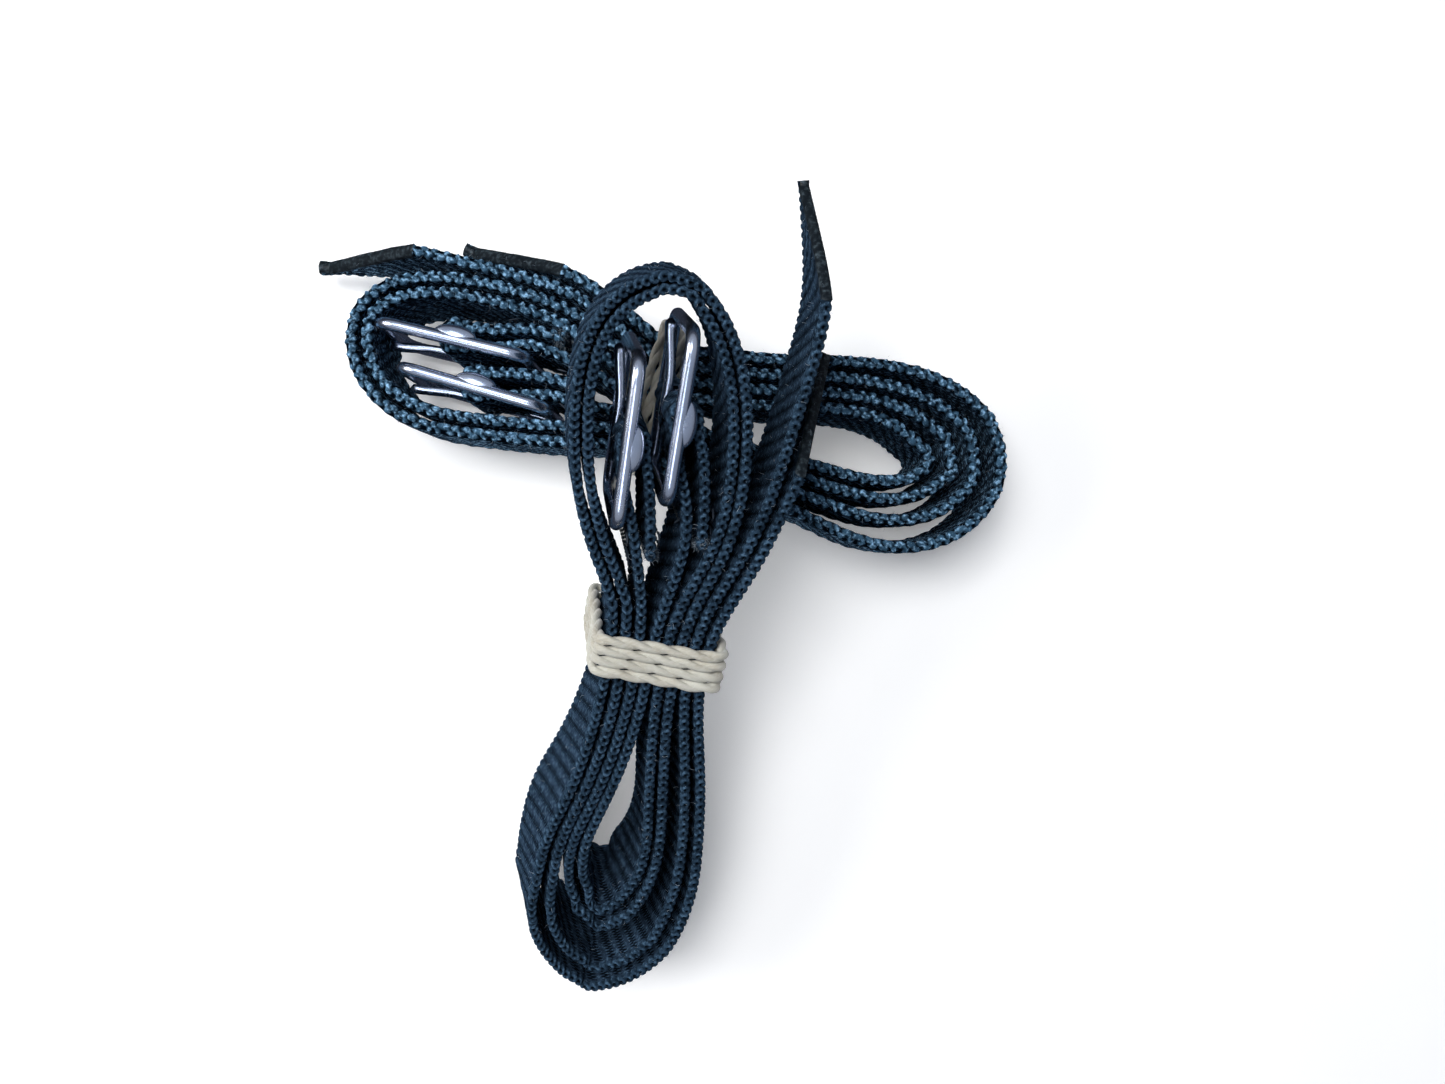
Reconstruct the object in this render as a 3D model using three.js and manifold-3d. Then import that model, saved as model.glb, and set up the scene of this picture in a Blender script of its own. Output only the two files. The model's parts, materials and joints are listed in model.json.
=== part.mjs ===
// Two hanks of narrow webbing straps with centre-bar buckles, each tied round its middle with cord.
// The rear hank stands on its webbing edges on a table. The front hank lies across it and slopes
// down to the table. Each hank is a pair of straps rolled up together from the buckle ends.
// A place on a hank is [across, along] at the webbing's upper edge. Up to the tie it is a share of
// the hank's length. The loops above the tie hold the buckles, so there it is a share of the head's
// length, which follows the buckle's.
import * as THREE from 'three';
import { mergeVertices } from 'three/addons/utils/BufferGeometryUtils.js';
import Module from 'manifold-3d';

const wasm = await Module();
wasm.setup();

// Driving sizes, in millimetres
const webWidth = 25;
const frontWebThickness = 2;
const rearWebThickness = 2.8;
const layGap = 0.3;
const frontHankLength = 146.5;
const rearHankLength = 138;
const frontFootDip = 1.26;
const cordDiameter = 2.1;
const cordClearance = 0.5;
const frontTieEase = 0.26;
const rearTieEase = 0.2;
const frameLength = 33;
const barReach = 17;
const rodDiameter = 2.6;
const windowEase = 0.4;
const cornerRadius = 5;
const barDiameter = 2.8;
const barOffset = 1.2;
const bossLength = 6.2;
const bossDiameter = 3.7;
const tongueWidth = 3.4;
const tongueWall = 1.7;
const tongueThickness = 1.9;
const tipBlunt = 1.2;
const frontTipSlant = 19.5;
const rearTipSlant = 26;
const cutOverrun = 1;
const threadDiameter = 0.4;
const seamInset = 1.6;
const frontHeadShare = 4.4394;
const rearHeadShare = 4.1818;

// Counts
const tieTurns = 4;
const tieStartSpot = 3;
const seamRows = 4;
const seamTries = 200;
const slantSteps = 6;
const rodSides = 8;
const threadSides = 6;
const turnPerStep = THREE.MathUtils.degToRad(17);
const stepPerWidthShare = 0.44;
const samplesPerKnot = 16;
const gentleShare = 0.26;

const flat = (x, y) => new THREE.Vector2(x, y);
const degrees = THREE.MathUtils.degToRad;

// How far the straps lean over to the right, as an angle at a place on the front hank
function frontLean(place) {
  const { smoothstep } = THREE.MathUtils;
  const left = smoothstep(-place.x, 0.12, 0.2);
  const low = 1 - smoothstep(place.y, 0.2, 0.34);
  const foot = 1 - smoothstep(place.y, 0.03, 0.14);
  const right = smoothstep(place.x, 0, 0.07);
  const high = smoothstep(place.y, 0.56, 0.7);
  return degrees(9 + 10.5 * left * low + 16 * left * foot + 3 * left * high - 4.5 * right * high);
}

// Where the layers cross a line across the hank, counted in layers from the line's middle, slot 1 first
const frontRows = {
  above: { middleShares: [-0.059, 0.589], turn: 0, layers: [-4.75, -3.6, -2.45, -0.65, 0.65, 1.9, 3.2, 4.75] },
  tie: { middleShares: [-0.081, 0.514], turn: degrees(-11) },
  below: { middleShares: [-0.0925, 0.456], turn: 0, layers: [-3.95, -2.75, -1.62, -0.52, 0.54, 1.6, 2.75, 3.9] },
};
const rearRows = {
  above: {
    middleShares: [0.245, 0.62],
    turn: degrees(-17),
    layers: [-4.6, -3.4, -2.1, 0, 1.3, 2.48, 3.66, 4.84],
  },
  tie: { middleShares: [0.216, 0.54], turn: degrees(-20) },
  below: {
    middleShares: [0.188, 0.467],
    turn: degrees(-18),
    layers: [-4.75, -3.55, -2.35, -1.15, 1.15, 2.25, 3.35, 4.45],
  },
};

// The two hanks: innermost turn of the lower loops, inner strap of the upper loop, buckle legs and tails
const front = {
  name: 'front',
  thickness: frontWebThickness,
  length: frontHankLength,
  headLength: frontHeadShare * frameLength,
  tipSlant: frontTipSlant,
  tieEase: frontTieEase,
  lean: frontLean,
  rows: frontRows,
  lowerShares: [
    [-0.125, 0.377], [-0.157, 0.298], [-0.182, 0.222], [-0.184, 0.171], [-0.177, 0.145], [-0.162, 0.133],
    [-0.146, 0.138], [-0.127, 0.158], [-0.109, 0.191], [-0.1, 0.226], [-0.097, 0.303], [-0.092, 0.377],
  ],
  lowerSlackShares: [
    [0.001, 0, 0.001, 0.001, 0.006, 0.0115, 0.01, 0.0055, 0.0035, 0.002, 0.0025, 0.0015],
    [0.001, 0.001, 0.002, 0.007, 0.025, 0.05, 0.039, 0.0245, 0.019, 0.0135, 0.0145, 0.011],
    [0.003, 0.002, 0.004, 0.007, 0.011, 0.015, 0.0115, 0.01, 0.0075, 0.005, 0.005, 0.0035],
  ],
  upperShares: [
    [-0.008, 0.655], [0.0095, 0.72], [0.0165, 0.792], [0.0165, 0.844], [0.0095, 0.891], [-0.007, 0.938],
    [-0.032, 0.969], [-0.061, 0.977], [-0.086, 0.971], [-0.109, 0.956], [-0.13, 0.934], [-0.145, 0.901],
    [-0.156, 0.844], [-0.16, 0.782], [-0.157, 0.72], [-0.143, 0.655],
  ],
  tailSlackShares: [[0.006, 0.016, 0.031], [0.003, 0.004, 0.007]],
  tailShares: [[0.096, 0.844], [0.113, 0.905], [0.124, 0.956], [0.125, 1.003], [0.12, 1.051], [0.114, 1.095]],
  outerTailShares: [[0.119, 0.832], [0.147, 0.872]],
  buckles: [
    {
      name: '1',
      eyeShares: [-0.106, 0.788],
      headingShares: [0.0343, 0.2142],
      legShares: [[-0.1235, 0.744], [-0.112, 0.711], [-0.1065, 0.679], [-0.106, 0.642], [-0.102, 0.614]],
      foldSlackShares: [0.021, 0.011, 0.004, 0.0015],
      seamShares: [0.672, 0.638],
    },
    {
      name: '2',
      eyeShares: [-0.0435, 0.818],
      headingShares: [0.0341, 0.198],
      legShares: [[-0.053, 0.765], [-0.042, 0.732], [-0.038, 0.7], [-0.0425, 0.662], [-0.053, 0.627]],
      foldSlackShares: [0.019, 0.0085, 0.002, 0.0015],
      seamShares: [0.704, 0.67],
    },
  ],
};
const rear = {
  name: 'rear',
  thickness: rearWebThickness,
  length: rearHankLength,
  headLength: rearHeadShare * frameLength,
  tipSlant: rearTipSlant,
  tieEase: rearTieEase,
  lean: () => 0,
  rows: rearRows,
  lowerShares: [
    [0.134, 0.376], [0.121, 0.316], [0.1, 0.254], [0.088, 0.2], [0.088, 0.166], [0.099, 0.142], [0.117, 0.128],
    [0.138, 0.13], [0.16, 0.149], [0.181, 0.181], [0.195, 0.222], [0.203, 0.286], [0.203, 0.376],
  ],
  lowerSlackShares: [
    [0.001, 0.001, 0.002, 0.003, 0.004, 0.009, 0.017, 0.016, 0.009, 0.004, 0.001, 0.001, 0.001],
    [0.001, 0.001, 0.004, 0.008, 0.01, 0.012, 0.0135, 0.012, 0.008, 0.005, 0.002, 0.001, 0.001],
    [0.001, 0.003, 0.01, 0.016, 0.018, 0.019, 0.018, 0.0155, 0.012, 0.009, 0.0045, 0.0015, 0.001],
  ],
  upperShares: [
    [0.327, 0.673], [0.348, 0.739], [0.36, 0.788], [0.371, 0.848], [0.37, 0.903], [0.358, 0.94], [0.336, 0.962],
    [0.308, 0.97], [0.278, 0.968], [0.245, 0.953], [0.2145, 0.924], [0.194, 0.883], [0.186, 0.833],
    [0.177, 0.754], [0.171, 0.69],
  ],
  tailSlackShares: [[0.001, 0.001, 0.001], [0.002, 0.004]],
  tailShares: [[0.418, 0.835], [0.432, 0.894], [0.437, 0.957], [0.441, 1.022], [0.443, 1.083]],
  outerTailShares: [[0.442, 0.795], [0.475, 0.851]],
  buckles: [
    {
      name: '1',
      eyeShares: [0.234, 0.8005],
      headingShares: [0.059, 0.2087],
      legShares: [[0.2155, 0.753], [0.222, 0.7], [0.21, 0.659]],
      foldSlackShares: [0.015, 0.0015, 0.0015],
      seamShares: [0.684, 0.66],
    },
    {
      name: '2',
      eyeShares: [0.3043, 0.8305],
      headingShares: [0.0471, 0.2007],
      legShares: [[0.286, 0.776], [0.2955, 0.725], [0.2815, 0.684], [0.2625, 0.648]],
      foldSlackShares: [0.004, 0.0015, 0.0015],
      seamShares: [0.779, 0.747],
    },
  ],
};

// Half sizes that several pieces share
const windowHalf = webWidth / 2 + windowEase;
const railOut = windowHalf + rodDiameter - webWidth / 2;
const eyeBore = barDiameter / 2 + layGap;
const tongueEye = eyeBore + tongueWall;
const tiePitch = cordDiameter + layGap;
const tieHalf = (tieTurns * tiePitch) / 2;

// The length that places are shares of, at a place that lies so far beyond the tie's middle
const tieMiddle = (hank) => flat(...hank.rows.tie.middleShares);
const measure = (hank, beyond) => (beyond.y > 0 ? hank.headLength : hank.length);

// A place in millimetres from a pair of shares
function place(hank, pair) {
  const beyond = flat(...pair).sub(tieMiddle(hank));
  return beyond.multiplyScalar(measure(hank, beyond)).addScaledVector(tieMiddle(hank), hank.length);
}

// The rear hank tips up just enough for its cord to pass underneath
const rearTilt = Math.atan((cordDiameter + cordClearance + layGap) / (rearRows.tie.middleShares[1] * rearHankLength - tieHalf));
rear.across = new THREE.Vector3(0, 1, 0);
rear.along = new THREE.Vector3(-Math.cos(rearTilt), 0, Math.sin(rearTilt));
rear.up = new THREE.Vector3(Math.sin(rearTilt), 0, Math.cos(rearTilt));
const rearStartShares = [0.432, 0];
rear.origin = new THREE.Vector3(rearStartShares[0] * rearHankLength, rearStartShares[1] * rearHankLength, 0);

// The front hank slopes so that its buckles just clear the cord on top of the rear hank. Its flared
// foot dips below its base plane, so the plane starts that much above the table.
const crossingShare = 0.742;
const rearWebTop = webWidth + rearRows.tie.middleShares[1] * rearHankLength * Math.tan(rearTilt);
const rearTop = rearWebTop + cordClearance + cordDiameter;
const frontRise = rearTop + railOut + layGap - frontFootDip;
const frontTilt = Math.asin(frontRise / place(front, [0, crossingShare]).y);
front.across = new THREE.Vector3(1, 0, 0);
front.along = new THREE.Vector3(0, Math.cos(frontTilt), Math.sin(frontTilt));
front.up = new THREE.Vector3(0, -Math.sin(frontTilt), Math.cos(frontTilt));

// The front hank lies with this place over the middle of the rear hank's tie
const overTieShares = [-0.1013, 0.829];
const overTie = place(front, overTieShares);
const rearTie = place(rear, rearRows.tie.middleShares);
front.origin = rear.origin
  .clone()
  .addScaledVector(rear.across, rearTie.x)
  .addScaledVector(rear.along, rearTie.y)
  .addScaledVector(front.across, -overTie.x)
  .addScaledVector(front.along, -overTie.y)
  .setZ(frontFootDip);

function leanAt(hank, point) {
  const beyond = point.clone().addScaledVector(tieMiddle(hank), -hank.length);
  return hank.lean(beyond.divideScalar(measure(hank, beyond)).add(tieMiddle(hank)));
}

const layerStep = (hank, point) => (hank.thickness + layGap) / Math.cos(leanAt(hank, point));

// The webbing's width direction where it runs along a heading and leans across it
function widthWay(hank, point, heading) {
  const lean = leanAt(hank, point);
  const way = hank.up.clone().multiplyScalar(Math.cos(lean)).addScaledVector(hank.across, Math.sin(lean));
  return way.addScaledVector(heading, -way.dot(heading)).normalize();
}

// The middle of the width below a place on the upper edge, for webbing that stands on the hank's base plane
function widthMiddle(hank, point, way) {
  const rise = webWidth * way.dot(hank.up);
  return hank.origin
    .clone()
    .addScaledVector(hank.across, point.x)
    .addScaledVector(hank.along, point.y)
    .addScaledVector(hank.up, rise)
    .addScaledVector(way, -webWidth / 2);
}

const headingInSpace = (hank, way) =>
  hank.across.clone().multiplyScalar(way.x).addScaledVector(hank.along, way.y).normalize();

// Knots of a strap's route: the middle of its width, and the way of its width, which turns gently
function laidKnots(hank, points) {
  const last = points.length - 1;
  const raw = points.map((point, i) => {
    const heading = points[Math.min(i + 1, last)].clone().sub(points[Math.max(i - 1, 0)]);
    return widthWay(hank, point, headingInSpace(hank, heading));
  });
  const run = [0];
  for (let i = 1; i <= last; i += 1) run.push(run[i - 1] + points[i].distanceTo(points[i - 1]));
  return points.map((point, i) => {
    const way = new THREE.Vector3();
    raw.forEach((near, j) => {
      const away = (run[j] - run[i]) / (gentleShare * webWidth);
      const stretch = run[Math.min(j + 1, last)] - run[Math.max(j - 1, 0)];
      way.addScaledVector(near, stretch * Math.exp(-away * away));
    });
    way.normalize();
    return { middle: widthMiddle(hank, point, way), way };
  });
}

// Places beside a guide line, some layers and some slack out to its right
function beside(hank, guide, layers, slackShares) {
  return guide.map((point, i) => {
    const ahead = guide[Math.min(i + 1, guide.length - 1)];
    const behind = guide[Math.max(i - 1, 0)];
    const way = ahead.clone().sub(behind).normalize();
    const out = flat(way.y, -way.x);
    const beyond = point.clone().addScaledVector(tieMiddle(hank), -hank.length);
    return point.clone().addScaledVector(out, layers * layerStep(hank, point) + slackShares[i] * measure(hank, beyond));
  });
}

// Where one slot crosses a row
function rowPlace(hank, row, slot, shift = 0) {
  const middle = place(hank, row.middleShares);
  const step = layerStep(hank, middle) + (row.layers ? 0 : hank.tieEase);
  const count = row.layers ? row.layers[slot - 1] : slot - 4.5;
  return flat(count * step, shift).rotateAround(flat(0, 0), row.turn).add(middle);
}

// One slot's way through the tie, from above it to below it
function throughTie(hank, slot) {
  const { above, tie, below } = hank.rows;
  return [
    rowPlace(hank, above, slot),
    rowPlace(hank, tie, slot, tieHalf),
    rowPlace(hank, tie, slot),
    rowPlace(hank, tie, slot, -tieHalf),
    rowPlace(hank, below, slot),
  ];
}

// A buckle's own axes at its heel bar: right, towards the tip end, and along the bar
function buckleFrame(hank, buckle) {
  const eye = place(hank, buckle.eyeShares);
  const heading = headingInSpace(hank, flat(...buckle.headingShares));
  const way = widthWay(hank, eye, heading);
  const right = new THREE.Vector3().crossVectors(heading, way);
  return { middle: widthMiddle(hank, eye, way), right, heading, way };
}

const eyeStart = degrees(-10);
const eyeEnd = degrees(190);
const eyeSteps = 8;

// The webbing's turn round the heel bar, from its right side over the top to its left side
function eyeKnots(hank, buckle) {
  const { middle, right, heading, way } = buckleFrame(hank, buckle);
  const radius = eyeBore + hank.thickness / 2;
  return Array.from({ length: eyeSteps + 1 }, (_, i) => {
    const angle = THREE.MathUtils.lerp(eyeStart, eyeEnd, i / eyeSteps);
    const turned = middle
      .clone()
      .addScaledVector(right, radius * Math.cos(angle))
      .addScaledVector(heading, radius * Math.sin(angle));
    return { middle: turned, way };
  });
}

// A strap's centre curve, which carries the webbing's width direction along it
class LaidStrap extends THREE.Curve {
  constructor(knots) {
    super();
    this.middles = knots.map((knot) => knot.middle);
    this.ways = knots.map((knot) => knot.way);
    this.stations = this.chooseStations();
  }

  // A smooth value between knots, which lie as far apart as the root of their distance
  blend(values, t) {
    const last = values.length - 1;
    const i = Math.min(Math.floor(t * last), last - 1);
    const spacing = (k) => Math.sqrt(this.middles[k].distanceTo(this.middles[k + 1]));
    const span = spacing(i);
    const slope = (k) => {
      const before = Math.max(k - 1, 0);
      const after = Math.min(k, last - 1);
      const rise = values[before + 1].clone().sub(values[before]).divideScalar(spacing(before));
      const run = values[after + 1].clone().sub(values[after]).divideScalar(spacing(after));
      const share = spacing(before) / (spacing(before) + spacing(after));
      return rise.lerp(run, share).multiplyScalar(span);
    };
    const u = t * last - i;
    return values[i]
      .clone()
      .multiplyScalar(1 + u * u * (2 * u - 3))
      .addScaledVector(values[i + 1], u * u * (3 - 2 * u))
      .addScaledVector(slope(i), u * (1 - u) * (1 - u))
      .addScaledVector(slope(i + 1), u * u * (u - 1));
  }

  getPoint(t) {
    return this.blend(this.middles, t);
  }

  // Sections lie close together in the bends and far apart on the straights
  chooseStations() {
    const samples = this.middles.length * samplesPerKnot;
    const measure = [0];
    let before = this.getTangent(0);
    let last = this.getPoint(0);
    for (let i = 1; i <= samples; i += 1) {
      const tangent = this.getTangent(i / samples);
      const point = this.getPoint(i / samples);
      const turned = before.angleTo(tangent) / turnPerStep;
      measure.push(measure[i - 1] + turned + point.distanceTo(last) / (stepPerWidthShare * webWidth));
      before = tangent;
      last = point;
    }
    this.steps = Math.round(measure[samples]);
    let i = 0;
    return Array.from({ length: this.steps + 1 }, (_, step) => {
      const wanted = (measure[samples] * step) / this.steps;
      while (i < samples - 1 && measure[i + 1] < wanted) i += 1;
      return Math.min(1, (i + (wanted - measure[i]) / (measure[i + 1] - measure[i])) / samples);
    });
  }

  frameAt(t) {
    const tangent = this.getTangent(t);
    const way = this.blend(this.ways, t);
    way.addScaledVector(tangent, -way.dot(tangent)).normalize();
    return { middle: this.getPoint(t), tangent, way, side: new THREE.Vector3().crossVectors(way, tangent) };
  }

  getSpacedPoints() {
    return this.stations.map((t) => this.getPoint(t));
  }

  computeFrenetFrames() {
    const frames = this.stations.map((t) => this.frameAt(t));
    return {
      tangents: frames.map((frame) => frame.tangent),
      normals: frames.map((frame) => frame.side),
      binormals: frames.map((frame) => frame.way),
    };
  }
}

// Closed solids joined and cut
function solid(geometry) {
  const bare = geometry.clone();
  bare.deleteAttribute('normal');
  bare.deleteAttribute('uv');
  const merged = mergeVertices(bare);
  return new wasm.Manifold(
    new wasm.Mesh({
      numProp: 3,
      vertProperties: merged.attributes.position.array,
      triVerts: new Uint32Array(merged.index.array),
    }),
  );
}

function shown(made) {
  const mesh = made.getMesh();
  const geometry = new THREE.BufferGeometry();
  geometry.setAttribute('position', new THREE.BufferAttribute(mesh.vertProperties, 3));
  geometry.setIndex(new THREE.BufferAttribute(mesh.triVerts, 1));
  return geometry;
}

// A rectangle about a middle
function rectangle(width, height, middle = flat(0, 0)) {
  const [x, y] = [width / 2, height / 2];
  return new THREE.Shape([flat(-x, -y), flat(x, -y), flat(x, y), flat(-x, y)].map((corner) => corner.add(middle)));
}

// A flat shape given a depth about its own plane, in axes of its own
function slab(shape, depth, middle, x, y, z) {
  const geometry = new THREE.ExtrudeGeometry(shape, { depth, bevelEnabled: false, curveSegments: rodSides });
  geometry.translate(0, 0, -depth / 2);
  return geometry.applyMatrix4(new THREE.Matrix4().makeBasis(x, y, z).setPosition(middle));
}

// Where on a strap a length of it is left before its tip
function whereLeft(strap, left) {
  const step = 1 / (strap.middles.length * samplesPerKnot);
  let t = 1;
  let gone = 0;
  while (gone < left) {
    gone += strap.getPoint(t).distanceTo(strap.getPoint(t - step));
    t -= step;
  }
  return t;
}

// The slanted, heat-sealed end: what lies above the slant goes, in short wedges that follow the strap
function tipWedge(hank, strap) {
  const half = webWidth / 2;
  const out = hank.thickness / 2 + cutOverrun;
  const corners = (step, ahead) => {
    const left = (hank.tipSlant * step) / slantSteps;
    const low = tipBlunt - half + ((webWidth - tipBlunt) * (left - ahead)) / hank.tipSlant;
    const { middle, tangent, way, side } = strap.frameAt(whereLeft(strap, left));
    const from = middle.clone().addScaledVector(tangent, ahead);
    return [flat(-out, low), flat(out, low), flat(out, half + cutOverrun), flat(-out, half + cutOverrun)].map(
      (corner) => from.clone().addScaledVector(side, corner.x).addScaledVector(way, corner.y).toArray(),
    );
  };
  const wedges = Array.from({ length: slantSteps }, (_, step) =>
    wasm.Manifold.hull([...corners(step, cutOverrun), ...corners(step + 1, 0)]),
  );
  return wasm.Manifold.union(wedges);
}

// The slot in the webbing's fold that lets the tongue reach the heel bar
function tongueSlot(hank, buckle) {
  const { middle, right, heading, way } = buckleFrame(hank, buckle);
  const outer = eyeBore + hank.thickness + cutOverrun;
  const drop = tongueEye + 2 * layGap;
  const outline = rectangle(2 * outer, outer + drop, flat(0, (outer - drop) / 2));
  return slab(outline, tongueWidth + 2 * layGap, middle, right, heading, way);
}

function strapRoute(hank, strapIndex) {
  const inner = strapIndex === 1;
  const buckle = hank.buckles[strapIndex];
  const [legSlot, upSlot, downSlot, tailSlot] = inner ? [4, 5, 2, 7] : [3, 6, 1, 8];
  const lower = hank.lowerShares.map((pair) => place(hank, pair));
  const upper = hank.upperShares.map((pair) => place(hank, pair));
  const loops = [lower];
  hank.lowerSlackShares.forEach((slackShares, i) => loops.push(beside(hank, loops[i], 1, slackShares)));
  const [firstLoop, secondLoop] = inner ? [loops[0], loops[2]] : [loops[1], loops[3]];
  const noSlackShares = upper.map(() => 0);
  const top = inner ? upper : beside(hank, upper, 1, noSlackShares);
  const leg = buckle.legShares.map((pair) => place(hank, pair));
  const fold = beside(hank, leg, -1, buckle.foldSlackShares.map((share) => -share).concat(0, 0));
  const foldBack = fold.slice(0, buckle.foldSlackShares.length).reverse();
  const tailStart = beside(hank, upper.slice(0, 3), 2, hank.tailSlackShares[0]);
  const innerTail = [...tailStart, ...hank.tailShares.map((pair) => place(hank, pair))];
  const outerTail = [
    ...beside(hank, innerTail.slice(0, hank.tailSlackShares[1].length), 1, hank.tailSlackShares[1]),
    ...hank.outerTailShares.map((pair) => place(hank, pair)),
  ];
  const knots = [
    ...laidKnots(hank, foldBack),
    ...eyeKnots(hank, buckle),
    ...laidKnots(hank, [
      ...leg,
      ...throughTie(hank, legSlot),
      ...firstLoop,
      ...throughTie(hank, upSlot).reverse(),
      ...top,
      ...throughTie(hank, downSlot),
      ...secondLoop,
      ...throughTie(hank, tailSlot).reverse(),
      ...(inner ? innerTail : outerTail),
    ]),
  ];
  return new LaidStrap(knots);
}

function strapSolid(hank, strapIndex) {
  const route = strapRoute(hank, strapIndex);
  const web = new THREE.ExtrudeGeometry(rectangle(hank.thickness, webWidth), {
    steps: route.steps,
    extrudePath: route,
    bevelEnabled: false,
  });
  return shown(
    solid(web)
      .subtract(tipWedge(hank, route))
      .subtract(solid(tongueSlot(hank, hank.buckles[strapIndex]))),
  );
}

// The buckle casting: a round-cornered ring of rod, its offset heel bar and the bosses at the bar's ends
function roundedOutline(length, width, radius, middle) {
  const [x, y] = [length / 2 - radius, width / 2 - radius];
  const outline = new THREE.Shape();
  outline.absarc(middle.x + x, middle.y + y, radius, 0, Math.PI / 2);
  outline.absarc(middle.x - x, middle.y + y, radius, Math.PI / 2, Math.PI);
  outline.absarc(middle.x - x, middle.y - y, radius, Math.PI, 1.5 * Math.PI);
  outline.absarc(middle.x + x, middle.y - y, radius, 1.5 * Math.PI, 2 * Math.PI);
  return outline;
}

function frameSolid(hank, buckle) {
  const { middle, right, heading, way } = buckleFrame(hank, buckle);
  const chamfer = rodDiameter * (1 - Math.SQRT1_2);
  const centre = flat(barReach - frameLength / 2, 0);
  const ringWidth = 2 * (windowHalf + rodDiameter);
  const outline = roundedOutline(frameLength, ringWidth, cornerRadius, centre);
  const windowLength = frameLength - 2 * rodDiameter;
  outline.holes.push(roundedOutline(windowLength, 2 * windowHalf, cornerRadius - rodDiameter, centre));
  const ring = new THREE.ExtrudeGeometry(outline, {
    depth: rodDiameter - 2 * chamfer,
    bevelThickness: chamfer,
    bevelSize: chamfer,
    bevelOffset: -chamfer,
    bevelSegments: 1,
    curveSegments: 3,
  });
  ring.translate(0, 0, chamfer - rodDiameter / 2 - barOffset);
  const bar = new THREE.CylinderGeometry(barDiameter / 2, barDiameter / 2, 2 * windowHalf + rodDiameter, rodSides);
  const bosses = [-1, 1].map((end) => {
    const boss = new THREE.CylinderGeometry(bossDiameter / 2, bossDiameter / 2, rodDiameter / 2, rodSides);
    boss.scale(bossLength / bossDiameter, 1, 1);
    return boss.translate(0, end * (windowHalf + rodDiameter / 2), 0);
  });
  const joined = bosses.reduce((whole, boss) => whole.add(solid(boss)), solid(ring).add(solid(bar)));
  return shown(joined).applyMatrix4(new THREE.Matrix4().makeBasis(heading, way, right).setPosition(middle));
}

// The tongue: an eye round the heel bar, and a stem whose tip lies on the ring's far end
function tongueSolid(hank, buckle) {
  const { middle, right, heading, way } = buckleFrame(hank, buckle);
  const tipAcross = -barOffset - rodDiameter / 2 - layGap - tongueThickness / 2;
  const half = tongueThickness / 2;
  const tipAlong = barReach - half;
  const shoulder = degrees(115);
  const outline = new THREE.Shape();
  outline.moveTo(-tongueEye, 0);
  outline.quadraticCurveTo(-tongueEye - layGap, tipAlong / 3, tipAcross - half, tipAlong);
  outline.absarc(tipAcross, tipAlong, half, Math.PI, 0, true);
  outline.lineTo(tongueEye * Math.cos(shoulder), tongueEye * Math.sin(shoulder));
  outline.absarc(0, 0, tongueEye, shoulder, -Math.PI, true);
  outline.holes.push(new THREE.Path().absarc(0, 0, eyeBore, 0, 2 * Math.PI));
  return slab(outline, tongueWidth, middle, right, heading, way);
}

// A rod along a line of points
class Polyway extends THREE.Curve {
  constructor(points) {
    super();
    this.points = points;
  }

  getPoint(t) {
    const at = t * (this.points.length - 1);
    const i = Math.min(Math.floor(at), this.points.length - 2);
    return this.points[i].clone().lerp(this.points[i + 1], at - i);
  }

  getSpacedPoints() {
    return this.points;
  }

  getTangentAt(u) {
    const i = Math.round(u * (this.points.length - 1));
    const ahead = this.points[Math.min(i + 1, this.points.length - 1)];
    return ahead.clone().sub(this.points[Math.max(i - 1, 0)]).normalize();
  }
}

function rod(points, diameter, sides) {
  const corners = Array.from({ length: sides }, (_, i) => {
    const angle = (2 * Math.PI * (i + 0.5)) / sides;
    return flat(Math.cos(angle), Math.sin(angle)).multiplyScalar(diameter / 2);
  });
  return new THREE.ExtrudeGeometry(new THREE.Shape(corners), {
    steps: points.length - 1,
    extrudePath: new Polyway(points),
    bevelEnabled: false,
  });
}

// A place on a strap's route, between two knots, where it lies a distance along the hank
function stationAt(hank, route, firstKnot, lastKnot, along) {
  const away = (t) => Math.abs(route.getPoint(t).sub(hank.origin).dot(hank.along) - along);
  let nearest = firstKnot / (route.middles.length - 1);
  for (let i = 0; i <= seamTries; i += 1) {
    const t = THREE.MathUtils.lerp(firstKnot, lastKnot, i / seamTries) / (route.middles.length - 1);
    if (away(t) < away(nearest)) nearest = t;
  }
  return nearest;
}

// Rows of sewing thread to and fro across the webbing, on the fold's outer face or on the leg's
function threadSolid(hank, strapIndex, face) {
  const route = strapRoute(hank, strapIndex);
  const buckle = hank.buckles[strapIndex];
  const foldKnots = buckle.foldSlackShares.length;
  const legKnot = foldKnots + eyeSteps + 1;
  const [firstKnot, lastKnot] = face === 'fold' ? [0, foldKnots - 1] : [legKnot, legKnot + buckle.legShares.length];
  const out = hank.thickness / 2 + layGap + threadDiameter / 2;
  const reach = webWidth / 2 - seamInset;
  const points = [];
  for (let row = 0; row < seamRows; row += 1) {
    const along = place(hank, [0, THREE.MathUtils.lerp(...buckle.seamShares, row / (seamRows - 1))]).y;
    const { middle, way, side } = route.frameAt(stationAt(hank, route, firstKnot, lastKnot, along));
    const ends = row % 2 ? [1, -1] : [-1, 1];
    for (const end of ends) {
      points.push(middle.clone().addScaledVector(side, -out).addScaledVector(way, end * reach));
    }
  }
  return rod(points, threadDiameter, threadSides);
}

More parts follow.
